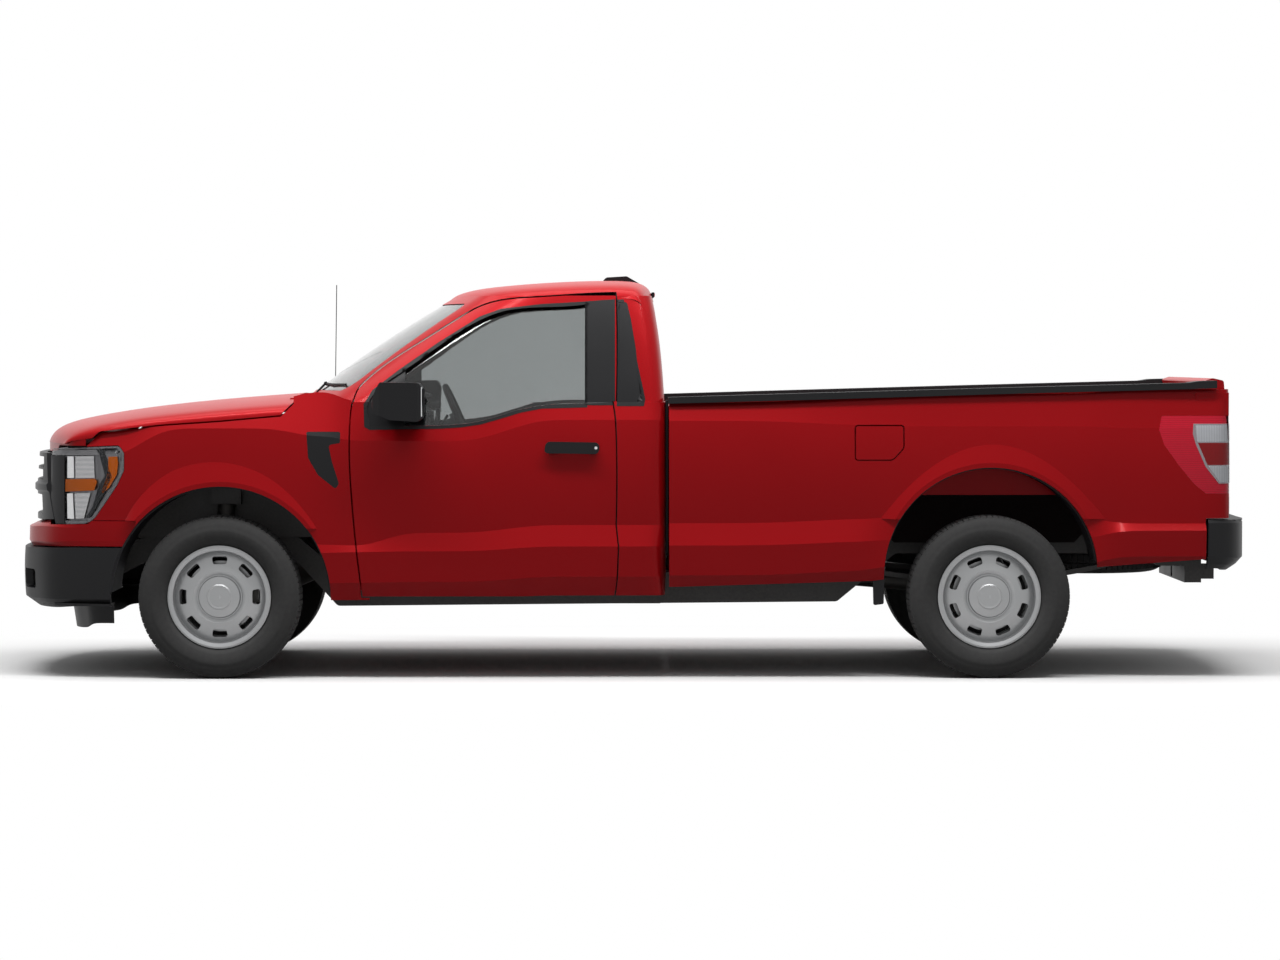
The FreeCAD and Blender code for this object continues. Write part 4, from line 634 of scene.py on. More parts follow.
def tyre_at(name, centre):
    """A treaded tyre about an axle along Y."""
    line = SIDEWALL + [ring[:2] for ring in TREAD] + [(-y, radius) for y, radius in reversed(SIDEWALL)]
    mesh = bpy.data.meshes.new(name)
    mesh.from_pydata([(0, y / 1000, radius / 1000) for y, radius in line],
                     [(k, k + 1) for k in range(len(line) - 1)], [])
    obj = added(name, mesh)
    edit_all(obj)
    bpy.ops.mesh.spin(steps=BLOCKS_ROUND, angle=math.tau, center=(0, 0, 0), axis=(0, 1, 0))
    bpy.ops.mesh.select_all(action="SELECT")
    bpy.ops.mesh.remove_doubles(threshold=0.0001)
    facing_out()
    for y, radius, share in TREAD:
        done()
        for v in obj.data.vertices:
            v.select = abs(v.co.y * 1000 - y) < 0.5 and math.hypot(v.co.x, v.co.z) * 1000 > radius - 1
        bpy.ops.object.mode_set(mode="EDIT")
        bpy.ops.mesh.select_mode(type="VERT")
        bpy.ops.transform.rotate(value=math.tau / BLOCKS_ROUND * share, orient_axis="Y",
                                 center_override=(0, 0, 0))
    ribs = [(TREAD[k][0], TREAD[k + 1][0]) for k in range(0, len(TREAD), 2)]
    pick_faces(obj, lambda c, n: math.hypot(c.x, c.z) > 0.362 and abs(n.y) < 0.5
               and any(a < c.y * 1000 < b for a, b in ribs))
    bpy.ops.mesh.inset(use_individual=True, thickness=BLOCK_GAP, depth=BLOCK_HEIGHT)
    done()
    obj.location = centre
    return smooth(settled(obj), 32)


HUB = at(0, -TRACK / 2, TYRE_RADIUS)
first_tyre = tyre_at("tyre_front_left_rubber", HUB)
print("tyre faces", len(first_tyre.data.polygons))

# %% [markdown]
# ## Four wheels and a spare
# The tyre is modelled once. Three copies move along and across the truck, and the fourth
# is laid flat under the bed, with a copy of the front rim in it.

# %% Copies of the tyre
TYRE_WIDTH, SPARE_UNDERSIDE = 245, 455


def copied(obj, name, move=(0, 0, 0), turn=None):
    """A copy with its own mesh, moved and turned about the frame's zero, then settled."""
    twin = twin_of(obj, name)
    if turn:
        twin.matrix_world = turn
        settled(twin)
    twin.location = move
    return settled(twin)


tyres = {"front_left": first_tyre}
for wheel in ROAD_WHEELS[1:]:
    back, right = WHEELBASE / 1000 * ("rear" in wheel), TRACK / 1000 * ("right" in wheel)
    tyres[wheel] = copied(first_tyre, "tyre_%s_rubber" % wheel, (back, right, 0))
for wheel, tyre in tyres.items():
    put(tyre, tyre_rubber, "wheel_" + wheel)
    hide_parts("tyre_" + wheel)
lay_flat = (Matrix.Translation(at(4130, 0, SPARE_UNDERSIDE + TYRE_WIDTH / 2))
            @ Matrix.Rotation(math.radians(90), 4, "X") @ Matrix.Translation(-HUB))
spare_tyre = copied(first_tyre, "spare_tyre_rubber", turn=lay_flat)
put(spare_tyre, tyre_rubber)
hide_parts("spare_wheel")
spare_rim = copied(NODES["rim_front_left"], "spare_rim_steel", turn=lay_flat)
spare_rim.parent = None
put(spare_rim, wheel_silver)
print("four tyres and a spare wheel")

# %% [markdown]
# ## Skins from the panels
# Trim on a curved panel follows the panel. The quickest true way is to copy the panel,
# keep the faces that look outwards, move them a little along their own normals and give
# them a thickness. A flat plate with the wanted outline then cuts the strip out of it.

# %% Copy a skin and cut a piece of it


def taken(node, name):
    """A free copy of a node's mesh, with its loose triangles merged."""
    twin = twin_of(NODES[node], name)
    place = twin.matrix_world.copy()
    twin.parent = None
    twin.matrix_world = place
    settled(twin)
    twin.data.materials.clear()
    edit_all(twin)
    bpy.ops.mesh.remove_doubles(threshold=0.00005)
    done()
    return twin


def skin(node, name, outward, inset, thickness):
    """A panel's faces picked by outward(centre, normal), inset mm inwards and thickness mm thick."""
    twin = taken(node, name)
    pick_faces(twin, lambda c, n: not outward(c, n))
    bpy.ops.mesh.delete(type="FACE")
    bpy.ops.mesh.select_all(action="SELECT")
    bpy.ops.transform.shrink_fatten(value=-inset / 1000.0)
    done()
    modify(twin, "SOLIDIFY", thickness=thickness / 1000.0, offset=-1.0)
    return twin


def cut(piece, points, operation="INTERSECT", inner=0):
    """Cuts a left piece with an outline drawn from the side, which reaches to y = inner."""
    plate = outline_plate("cutter", points, "xz", -1300, inner)
    modify(piece, "BOOLEAN", operation=operation, object=plate, solver="EXACT", use_self=True)
    bpy.data.objects.remove(plate)


def cut_out(source, name, points):
    """The part of a skin inside an outline drawn from the side."""
    piece = twin_of(source, name)
    cut(piece, points)
    return smooth(piece, 30)


def lamp_parts(lamp, edge, parts):
    """Cuts the parts of a left lamp, each with its source, finish and outline, and mirrors them."""
    for part_name, source, paint, points in parts:
        part = bevelled(cut_out(source, "%s_%s_left" % (lamp, part_name), points), edge, 2)
        on_both_sides(part, paint)
        print(part.name, len(part.data.polygons))


# %% [markdown]
# ## Lamp mouldings
# Reflectors and lenses have fine ribs that spread the light. A sine of one coordinate draws them
# in the bump and as painted shade in the colour; as geometry they would be thousands of faces.

# %% Lamp finishes


def moulded(name, color, roughness, metallic, pitch, way=0, **sockets):
    """A lamp moulding with fine ribs every pitch metres along one of the three axes."""
    paint = Paint(name, color, roughness, metallic, **sockets)
    ribs = (paint.axes()[way] * (math.tau / pitch)).sine() * 0.5 + 0.5
    # Painted shade: the colour darkens along one side of each rib, mixed with a random mottle.
    rib_shade_and_mottle = tuple(c * 0.72 for c in color)
    paint.set("Base Color", paint.blend(ribs * 0.5 + paint.noise(40.0) * 0.3, color, rib_shade_and_mottle))
    paint.bump(ribs, 0.35, 0.0008)
    return paint


lamp_bowl = moulded("lamp_bowl_chrome", (0.17, 0.17, 0.18), 0.28, 0.85, 0.031)
lamp_mirror = moulded("lamp_reflector", (0.52, 0.52, 0.53), 0.18, 0.9, 0.022, 2)
lamp_white = moulded("lamp_white_strip", (0.92, 0.92, 0.93), 0.3, 0.85, 0.006, 2)
lamp_bar = moulded("lamp_light_bar", (0.20, 0.20, 0.21), 0.22, 0.35, 0.008)
lamp_amber = moulded("lamp_amber", (0.95, 0.19, 0.004), 0.3, 0.0, 0.009, specular_ior_level=0.2)
lamp_dark = moulded("lamp_divider", (0.016, 0.018, 0.022), 0.22, 0.1, 0.05, specular_ior_level=0.3)
lamp_cover = Paint("lamp_clear_cover", (0.03, 0.03, 0.03), 0.03, alpha=0.07, specular_ior_level=0.6)
lamp_cover.set("Roughness", lamp_cover.noise(3.0) * 0.04 + 0.01)
print("seven lamp finishes")

# %% [markdown]
# ## Headlamps
# Behind a clear cover sit a grey light bar along the top, two reflector chambers with a
# white strip beside each, an amber band between them and an amber marker at the side. The
# CAD lamp is one block, so it gives its outer face twice: once thin as the cover, and once
# set back as the bowl. The parts inside are cut from the same face a few millimetres down.
# A node is hidden once pieces stand for it, so all the skins are taken from it before that.

# %% Cover, bowl and rim of the headlamp


def lamp_face(c, n):
    return c.y < 0 and (n.y < -0.3 or n.x < -0.55)


LAMP_INNER = [(-900, 1060), (-474, 1073), (-452, 1050), (-452, 973), (-483, 907), (-540, 824), (-586, 760),
              (-615, 735), (-900, 729)]
cover = smooth(skin("headlamps", "headlamp_cover_left", lamp_face, 0.0, 2.4), 35)
bowl = smooth(skin("headlamps", "headlamp_bowl_left", lamp_face, 21.0, 3.0), 35)
rim = skin("headlamps", "headlamp_rim_left", lamp_face, 2.6, 5.0)
cut(rim, LAMP_INNER, "DIFFERENCE", -500)
smooth(rim, 35)
end_skin = skin("headlamps", "end_skin", lamp_face, -0.9, 1.7)
near = skin("headlamps", "near_skin", lamp_face, 4.0, 7.0)
deep = skin("headlamps", "deep_skin", lamp_face, 12.0, 5.0)
for shell, paint in ((cover, lamp_cover), (bowl, lamp_bowl), (rim, lamp_bowl)):
    for side in on_both_sides(shell, paint):
        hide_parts("headlamps")
    print(shell.name, len(shell.data.polygons))

# %% [markdown]
# ## Inside the headlamp
# The light bar, the strips and the amber parts lie close behind the cover, the reflectors
# deeper. Each outline is drawn from the side as the photograph shows it. The front end of
# the lamp belongs to the grille, so a thin black piece lies over it.

# %% Parts of the headlamp
grille_end = cut_out(end_skin, "grille_end_left", [(-900, 712), (-728, 712), (-728, 1036), (-900, 1030)])
on_both_sides(grille_end, trim_black)
lamp_parts("headlamp", 0.8, [
    ("light_bar", near, lamp_bar, [(-836, 1057), (-556, 1066), (-556, 1040), (-836, 1036)]),
    ("upper_strip", near, lamp_white, [(-714, 1033), (-682, 1033), (-680, 933), (-714, 932)]),
    ("upper_chamber", deep, lamp_mirror, [(-678, 1033), (-584, 1036), (-580, 934), (-676, 931)]),
    ("amber_band", near, lamp_amber, [(-724, 926), (-578, 930), (-568, 915), (-582, 876), (-726, 868)]),
    ("lower_strip", near, lamp_white, [(-716, 860), (-686, 861), (-680, 742), (-714, 742)]),
    ("lower_chamber", deep, lamp_mirror, [(-682, 861), (-600, 865), (-632, 745), (-676, 742)]),
    ("divider", near, lamp_dark, [(-574, 1070), (-545, 1070), (-497, 940), (-530, 870), (-604, 748),
                                  (-622, 748), (-590, 800), (-560, 900), (-530, 945), (-556, 1040)]),
    ("amber_marker", near, lamp_amber, [(-514, 1032), (-472, 1034), (-468, 1000), (-474, 950), (-510, 890),
                                        (-540, 862), (-546, 872), (-522, 940), (-514, 985)]),
])
for source in (end_skin, near, deep):
    bpy.data.objects.remove(source)

# %% [markdown]
# ## Tail lamps
# The rear lamp is a red lens with two white windows, for reversing, at its outer edge and
# a darker red block between them. The lens keeps the CAD shape and gets fine ribs; the
# windows stand a hair proud of it.

# %% Tail lamps
lens_red = moulded("tail_lens_red", (0.80, 0.006, 0.035), 0.14, 0.0, 0.010, 2, specular_ior_level=0.2)
lens_deep = moulded("tail_block_red", (0.36, 0.002, 0.005), 0.12, 0.0, 0.006, specular_ior_level=0.2)
lens_white = moulded("tail_window_white", (0.66, 0.68, 0.72), 0.16, 0.0, 0.012, specular_ior_level=0.3)
lens_edge = moulded("tail_block_edge", (0.30, 0.26, 0.28), 0.25, 0.5, 0.01, coat_weight=0.3)
dress(lens_red, "tail_lamps")


def tail_face(c, n):
    return c.y < 0 and (n.y < -0.3 or n.x > 0.55)


proud = skin("tail_lamps", "tail_skin", tail_face, -1.2, 2.4)
prouder = skin("tail_lamps", "tail_top_skin", tail_face, -1.8, 2.4)
lamp_parts("tail", 0.5, [
    ("edge", proud, lens_edge, [(4530, 1186), (4728, 1186), (4728, 908), (4648, 908), (4586, 985),
                                (4540, 1090), (4526, 1140)]),
    ("upper_window", prouder, lens_white, [(4540, 1179), (4722, 1179), (4722, 1102), (4546, 1102)]),
    ("middle_block", prouder, lens_deep, [(4550, 1097), (4722, 1097), (4722, 994), (4594, 994)]),
    ("lower_window", prouder, lens_white, [(4598, 989), (4722, 989), (4722, 914), (4652, 914)]),
])
for source in (proud, prouder):
    bpy.data.objects.remove(source)

# %% [markdown]
# ## Black window surround
# The door's rear pillar is covered with a black film panel, and a rubber seal runs round
# the window opening. Both are cut from the door's own outer skin, so they follow its lean.
# The corner of the cab behind the door continues the black, and is cut from the cab.

# %% Pillar covers and window seals
seal_rubber = grained("window_seal_rubber", (0.007, 0.007, 0.008), 0.5, 800.0, 0.0002)
BELT = 1.1
DOOR_GAP = at(1800, 0, 0).x
PILLAR = [(1700, 1757), (1841, 1767), (1841, 1272), (1700, 1272)]
SEAL = [(1712, 1757), (1490, 1744), (1306, 1722), (1207, 1686), (1018, 1567), (831, 1436), (709, 1342),
        (672, 1278), (676, 1172), (700, 1158), (1030, 1163), (1122, 1169), (1218, 1183), (1312, 1210),
        (1404, 1238), (1500, 1256), (1712, 1262)]
CORNER = [(1849, 1268), (1849, 1766), (1882, 1766), (1982, 1300), (1975, 1268)]
door_skin = skin("door_left", "door_skin", lambda c, n: n.y < -0.3 and c.z > BELT, -0.9, 1.6)
cab_skin = skin("cab_shell", "cab_skin", lambda c, n: n.y < -0.3 and c.z > BELT and c.x > DOOR_GAP, -0.9, 1.6)
for source, name, points, paint, body in (
        (door_skin, "pillar_cover_left", PILLAR, trim_black, "door_left_body"),
        (door_skin, "window_seal_left", SEAL, seal_rubber, "door_left_body"),
        (cab_skin, "corner_cover_left", CORNER, trim_black, "chassis")):
    piece = cut_out(source, name, points)
    on_both_sides(piece, paint, body)
    print(name, len(piece.data.polygons))
for source in (door_skin, cab_skin):
    bpy.data.objects.remove(source)

# %% [markdown]
# ## Rubber between cab and bed
# The cab and the bed are separate bodies with a finger's width between them. A rubber
# strip on the cab keeps spray out of the gap, and closes the view through it.

# %% Gap strips
gap_strip = bevelled(block("gap_strip_left", (2075, -893, 575), (2090, -850, 1296)), 3, 2)
on_both_sides(gap_strip, seal_rubber)
print(gap_strip.name, len(gap_strip.data.polygons))

# %% [markdown]
# ## Tubes, and places on a surface
# A tube along a few points is a curve with a round bevel, turned into a mesh. To rest a
# piece on a curved panel, a ray is sent to the panel and the piece starts where it lands.

# %% Tube and ray


def tube(name, points, radius):
    """A round tube through points given in scene metres."""
    curve = bpy.data.curves.new(name, "CURVE")
    curve.dimensions = "3D"
    curve.bevel_depth = radius / 1000.0
    curve.bevel_resolution = 3
    curve.use_fill_caps = True
    line = curve.splines.new("POLY")
    line.points.add(len(points) - 1)
    for spot, point in zip(line.points, points):
        spot.co = (*point, 1.0)
    only(added(name, curve))
    bpy.ops.object.convert(target="MESH")
    return smooth(named(name), 50)


def met(node, start, way):
    """Where a ray first meets a node, in scene metres, or zero where it meets nothing."""
    obj = NODES[node]
    back = obj.matrix_world.inverted()
    place = obj.ray_cast(back @ start, back.to_3x3() @ Vector(way))[1]
    return obj.matrix_world @ place


# %% [markdown]
# ## Wipers
# Two blades rest on the glass near its lower edge, each held by an arm from the cowl. The
# glass is curved both ways, so a ray straight down finds it at each point of the blade,
# and the search for its lower edge goes rearwards until a ray meets glass.

# %% Wipers
DOWN = (0, 0, -1)
ABOVE_ALL = 2200
BLADES = {"left": ((26, -705), (24, -500), (24, -300), (26, -110)),
          "right": ((24, 80), (24, 260), (24, 440), (26, 610))}


def glass_foot(y, above):
    """A place on the windshield, a given distance up from where the glass starts."""
    x = 340
    while met("cab_glass", at(x, y, ABOVE_ALL), DOWN).z < 0.5:
        x += 6
    return met("cab_glass", at(x + above, y, ABOVE_ALL), DOWN)


for side, run in BLADES.items():
    rest = [glass_foot(y, above) + Vector((0, 0, 0.009)) for above, y in run]
    blade = tube("wiper_blade_" + side, rest, 5.5)
    foot = met("cowl_panel", at(405, run[2][1], 1400), DOWN)
    bend, tip = foot + Vector((-0.004, 0, 0.030)), rest[2] + Vector((0, 0, 0.008))
    arm = tube("wiper_arm_" + side, [foot, bend, tip], 6)
    put(blade, seal_rubber)
    put(arm, trim_black)
    print(side, "wiper rests at", rest[0])

# %% [markdown]
# ## Antenna
# A thin mast leans back from a small rubber foot on the right fender. It's a tube between
# two points, and the foot is a short bar with a rounded top.

# %% Antenna
antenna_foot = met("fenders", at(424, 893, 1500), DOWN)
foot_height = antenna_foot.z * 1000
mast_base = round_bar("antenna_base", (424, 893, foot_height - 2), (426, 893, foot_height + 26), 9)
put(bevelled(mast_base, 3, 2), trim_black)
put(tube("antenna_mast", [antenna_foot, at(432, 893, 1861)], 2.2), trim_black)
print("antenna foot at", antenna_foot)

# %% [markdown]
# ## Door locks and mirror glass
# The lock is a chromed disc that stands out of the door by a few millimetres. The mirror
# glass is a thin plate on the rear face of the mirror head, with a finish that is almost
# nothing but reflection. A little noise in the roughness keeps both from looking drawn.

# %% Lock and mirror glass
chrome = Paint("bright_chrome", (0.62, 0.62, 0.63), 0.08, 1.0)
chrome.set("Roughness", chrome.noise(300.0) * 0.08 + 0.06)
mirror_face = Paint("mirror_silver", (0.82, 0.83, 0.84), 0.02, 1.0)
mirror_face.set("Roughness", mirror_face.noise(2.0) * 0.02 + 0.005)
lock = bevelled(round_bar("door_lock_left", (1752, -1023, 1075), (1752, -1020.5, 1075), 7), 0.8, 2)
on_both_sides(lock, chrome, "door_left_body")
MIRROR = [(-1164, 1222), (-1002, 1222), (-1002, 1358), (-1164, 1358)]
mirror_glass = bevelled(outline_plate("mirror_glass_left", MIRROR, "yz", 948.5, 951.5), 1, 2)
on_both_sides(mirror_glass, mirror_face, "door_left_body")
print(lock.name, mirror_glass.name)

# %% [markdown]
# ## Front lip of the hood
# The hood's leading edge turns down to the grille and the lamps. The lip is one strip:
# rays find the edge of the hood all along the nose, the points are dropped to the height
# of the grille or the lamp below, and the strip gets a thickness.

# %% Hood lip
HOOD_EDGE = 1095
GRILLE_TOP, LAMP_TOP, LAMP_STARTS = 1.0495, 1.083, 0.705
front = [met("hood", at(-1200, y, HOOD_EDGE), (1, 0, 0)) for y in range(-760, 761, 40)]
corner = [met("hood", at(x, -1200, HOOD_EDGE + 21), (0, 1, 0)) for x in range(-624, -729, -26)]
corner = [p for p in corner if p.y < -0.75]
edge_points = corner + front + [Vector((p.x, -p.y, p.z)) for p in corner[::-1]]
edge_points = [p for p in edge_points if p.z > 1.0]
count = len(edge_points)
lip_rows = []
for share in (0.0, 0.35, 0.7, 1.0):
    for point in edge_points:
        bottom = GRILLE_TOP if abs(point.y) < LAMP_STARTS else LAMP_TOP
        lip_rows.append((point.x + 0.0015, point.y * 0.9985, point.z + (bottom - point.z) * share))
lip_mesh = bpy.data.meshes.new("hood_lip")
lip_mesh.from_pydata(lip_rows, [], [(k, k + 1, k + 1 + count, k + count) for row in range(3)
                                    for k in range(row * count, row * count + count - 1)])
lip = added("hood_lip", lip_mesh)
modify(lip, "SOLIDIFY", thickness=0.003, offset=0.0)
put(smooth(lip), red, "hood_lid")
print("hood edge points", count)

# %% [markdown]
# ## Duct behind the grille
# Behind the grille a black duct leads the air to the radiator, so nothing shows through the
# openings from the side. It is a plate drawn in plan, a little inside the grille's curve.

# %% Air duct
DUCT_HALF = [(-868, 100), (-860, 300), (-820, 600), (-798, 672), (-790.5, 672)]
duct = outline_plate("grille_duct", [(x, -y) for x, y in DUCT_HALF] + DUCT_HALF[::-1], "xy", 748, 1034)
put(bevelled(duct, 3, 2), seal_rubber)
print(duct.name, len(duct.data.polygons))

# %% [markdown]
# ## Splash walls
# Inside each rear arch a steel wall closes the wheelhouse towards the frame. It hangs from
# the bed floor, so it's one sheet whose lower corners are cut off.

# %% Rear splash walls
SPLASH = [(3090, 829), (4078, 829), (4078, 690), (4010, 620), (3160, 620), (3090, 690)]
splash = bevelled(outline_plate("rear_splash_left", SPLASH, "xz", -654, -644), 1.5, 2)
on_both_sides(splash, bed_paint)
print(splash.name, len(splash.data.polygons))

# %% [markdown]
# ## High stop lamp
# A low lamp with a red lens sits at the back edge of the roof. A ray from behind finds the
# cab's back wall at its height, and the housing is set two millimetres into it.

# %% Stop lamp
wall_x = met("cab_shell", at(2300, 0, 1796), (-1, 0, 0)).x * 1000.0 + MIDDLE
housing = bevelled(block("stop_lamp_housing", (wall_x - 2, -190, 1784), (wall_x + 12, 190, 1808)), 3, 3)
put(housing, trim_black)
lens = bevelled(block("stop_lamp_lens", (wall_x + 11, -180, 1788), (wall_x + 14, 180, 1804)), 1, 2)
put(lens, lens_red)
print("back wall of the roof at", round(wall_x, 1))

# %% [markdown]
# ## Blank cover on the right
# Only the driver's side has a filler. The pressing for the other side has the same recess
# with a fixed cover in it, so the cover is a mirror image of the flap.

# %% Right side cover
flap_copy = taken("fuel_door", "side_cover_left")
side_cover = smooth(across(flap_copy, "side_cover_right"), 30)
bpy.data.objects.remove(flap_copy)
put(side_cover, red)
print(side_cover.name, len(side_cover.data.polygons))

# %% [markdown]
# ## Blank plate
# The plate at the back is a pressed sheet with a raised edge and two screws. It carries
# no characters. It is a thin block whose face is inset and pushed in by half a millimetre.

# %% Rear plate
plate_paint = Paint("plate_enamel", (0.62, 0.63, 0.62), 0.4)
plate_grain = plate_paint.noise(60.0)
plate_paint.set("Base Color", plate_paint.blend(plate_grain, (0.56, 0.57, 0.56), (0.66, 0.67, 0.66)))
plate_paint.set("Roughness", plate_grain * 0.2 + 0.3)


def sink_rear_face(obj, rim, depth):
    """Insets the face that looks rearwards by rim mm, and pushes it in by depth mm."""
    pick_faces(obj, lambda c, n: n.x > 0.9)
    bpy.ops.mesh.inset(thickness=rim / 1000.0)
    bpy.ops.transform.translate(value=(-depth / 1000.0, 0, 0))
    done()


rear_plate = block("rear_plate", (4792.2, -146, 566), (4794.2, 146, 694))
sink_rear_face(rear_plate, 6, 0.6)
put(bevelled(rear_plate, 0.4, 2), plate_paint)
for side, y in (("left", -110), ("right", 110)):
    screw = bevelled(round_bar("plate_screw_" + side, (4793, y, 682), (4796, y, 682), 5), 0.8, 2)
    put(screw, chrome)
print(rear_plate.name, len(rear_plate.data.polygons))

# %% [markdown]
# ## Seat cloth
# The cover is knitted, which shows as a fine regular weave with fuzz on it. Two sines
# crossing each other draw the weave, a noise draws the fuzz, and a little sheen lightens
# the cloth where one looks along it.

# %% Seat finish
THREADS = 2400.0
seat_fabric = Paint("seat_fabric", (0.040, 0.041, 0.044), 0.92, sheen_weight=0.3)
seat_x, seat_y, seat_z = seat_fabric.axes()
weave = ((seat_x + seat_z) * THREADS).sine() * (seat_y * THREADS).sine() * 0.5 + 0.5
knit = weave * 0.6 + seat_fabric.noise(500.0) * 0.4
seat_fabric.set("Base Color", seat_fabric.blend(knit, (0.030, 0.031, 0.034), (0.062, 0.063, 0.067)))
seat_fabric.bump(knit, 0.4, 0.0006)
print("paint", seat_fabric.material.name)

# %% [markdown]
# ## Seats
# The bench is foam under a knitted cover, divided into three places. A block of foam
# looks flat, so each cushion starts a little smaller than its place and is blown up as
# cloth with pressure and no gravity; the cloth is then made part of the mesh. One outer
# cushion, one outer back and one headrest are simulated, and copies serve the other places.

# %% Blown-up foam
FRAMES, PRESSURE = 20, 4.0


def swollen(name, points, width, edge, voxel, cap, inside):
    """Foam inside an outline, swollen by at most cap mm and kept within the box inside."""
    pad = bevelled(outline_plate(name, points, "xz", *width), edge, 4)
    pad.data.remesh_voxel_size = voxel / 1000.0
    only(pad)
    bpy.ops.object.voxel_remesh()
    start = [v.co.copy() for v in pad.data.vertices]
    cloth = pad.modifiers.new("cloth", "CLOTH")
    cloth.settings.use_pressure = True
    cloth.settings.uniform_pressure_force = PRESSURE
    cloth.settings.effector_weights.gravity = 0.0
    for number in range(1, FRAMES + 1):
        bpy.context.scene.frame_set(number)
    bpy.ops.object.modifier_apply(modifier="cloth")
    bpy.context.scene.frame_set(1)
    small, large = at(*inside[0]), at(*inside[1])
    for vertex, old in zip(pad.data.vertices, start):
        step = vertex.co - old
        if step.length > cap / 1000.0:
            step = step * (cap / 1000.0 / step.length)
        vertex.co = [min(max(value, a), b) for value, a, b in zip(old + step, small, large)]
    modify(pad, "SUBSURF", levels=1)
    return smooth(pad, 60)


# %% [markdown]
# ## Sewn channels
# The cover is sewn to the foam along straight lines, and the cloth dips towards each seam.
# The cloth step would blur such lines, so they're pressed in afterwards: a point moves in
# along its normal, the more the nearer it is to a seam.

# %% Cushion, back and headrest
SEAMS = (-600, -450, -300)
SEAM_WIDTH, SEAM_DEPTH = 7.0, 5
PLACE_WIDTH = (-688, -212)


def sewn(pad, wanted):
    """Presses the seams into the faces picked by wanted(normal)."""
    normals = [vertex.normal.copy() for vertex in pad.data.vertices]
    for vertex, normal in zip(pad.data.vertices, normals):
        if wanted(normal):
            press = sum(math.exp(-((vertex.co.y * 1000.0 - seam) / SEAM_WIDTH) ** 2) for seam in SEAMS)
            vertex.co -= normal * (press * SEAM_DEPTH / 1000.0)
    return pad


cushion = swollen("seat_cushion_left", [(1148, 712), (1154, 834), (1628, 804), (1628, 712)], PLACE_WIDTH,
                  34, 10, 22, ((1131, -699.4, 700.5), (1639, -200.9, 852)))
sewn(cushion, lambda n: n.z > 0.5)
back = swollen("seat_back_left", [(1668, 744), (1768, 744), (1944, 1408), (1882, 1414), (1696, 980)],
               PLACE_WIDTH, 30, 10, 22, ((1654, -699.4, 730.5), (1962, -200.9, 1432)))
sewn(back, lambda n: n.x < -0.5)
headrest = swollen("headrest_left", [(1890, 1458), (1950, 1456), (1972, 1590), (1910, 1594)], (-580, -340),
                   18, 7, 16, ((1880, -590, 1446), (1986, -330, 1606)))
print("pads", len(cushion.data.polygons), len(back.data.polygons), len(headrest.data.polygons))

# %% [markdown]
# ## Three places
# The right place mirrors the left one, and the middle one is a narrower copy. Two posts
# carry each headrest, as on a real seat; they run down into the foam.

# %% The other places
LEFT_PLACE, MIDDLE_SHARE = -450, 0.8


def narrowed(pad, name):
    """A copy of a left pad made narrower and moved to the middle of the bench."""
    twin = twin_of(pad, name)
    twin.scale = (1, MIDDLE_SHARE, 1)
    twin.location = (0, -LEFT_PLACE / 1000.0 * MIDDLE_SHARE, 0)
    return settled(twin)


for pad, node in ((cushion, "seat_cushions"), (back, "seat_backs"), (headrest, "seat_backs")):
    places = [across(pad, pad.name.replace("left", "right")), pad]
    if pad is not headrest:
        places.insert(0, narrowed(pad, pad.name.replace("left", "middle")))
    for place in places:
        put(place, seat_fabric)
        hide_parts(node)
for y in (-520, -400, 400, 520):
    post_name = "headrest_post_%s_%d" % ("left" if y < 0 else "right", abs(y))
    post = round_bar(post_name, (1925, y, 1400), (1935, y, 1500), 7, 16)
    put(smooth(post), chrome)
    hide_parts("seat_backs")
print("three cushions, three backs and two headrests on four posts")

# %% [markdown]
# ## Dials
# The instrument face is black with two ringed dials. The rings and marks are drawn by the
# finish: the distance from a dial's centre gives the ring, and the angle round it the
# marks. No numbers are on it, since at this size they wouldn't be read.

# %% Instrument face


def marked_dials(name, centres, radius):
    """A black face with a ring and fine marks round each centre."""
    paint = Paint(name, (0.01, 0.01, 0.012), 0.2, coat_weight=0.5)
    x, y, z = paint.axes()
    shown = 0.0
    for centre_y, centre_z in centres:
        u, v = y - centre_y / 1000.0, z - centre_z / 1000.0
        away = ((u * u + v * v).root() - radius / 1000.0).absolute()
        marks = ((v.math("ARCTAN2", u) * 24.0).sine() > 0.8) * (away < 0.004)
        shown = (away < 0.0012) + marks + shown
    paint.set("Base Color", paint.blend(shown.clamped(), (0.008, 0.008, 0.010), (0.30, 0.31, 0.33)))
    return paint


dials = marked_dials("instrument_face", ((-455, 1262), (-325, 1262)), 40)
print("paint", dials.material.name)

# %% [markdown]
# ## Dashboard
# The CAD dashboard is the bare moulding. On it sit the hood over the instruments, the
# instrument face, a dark screen, four air vents, three knobs and the glovebox lid. They
# are small blocks, shaped with an inset and a bevel, each set a few millimetres into the
# moulding as the clips of the real ones are.

# %% Dashboard parts
HOOD_SHAPE = [(800, 1262), (826, 1326), (900, 1336), (962, 1318), (950, 1302), (890, 1312), (860, 1250)]


def panel(name, low, high, paint, edge=4, sink=0.0, rim=8):
    """A small box whose rear face may be inset by rim and sunk by sink millimetres."""
    obj = block(name, low, high)
    if sink:
        sink_rear_face(obj, rim, sink)
    return put(smooth(bevelled(obj, edge, 2)), paint)


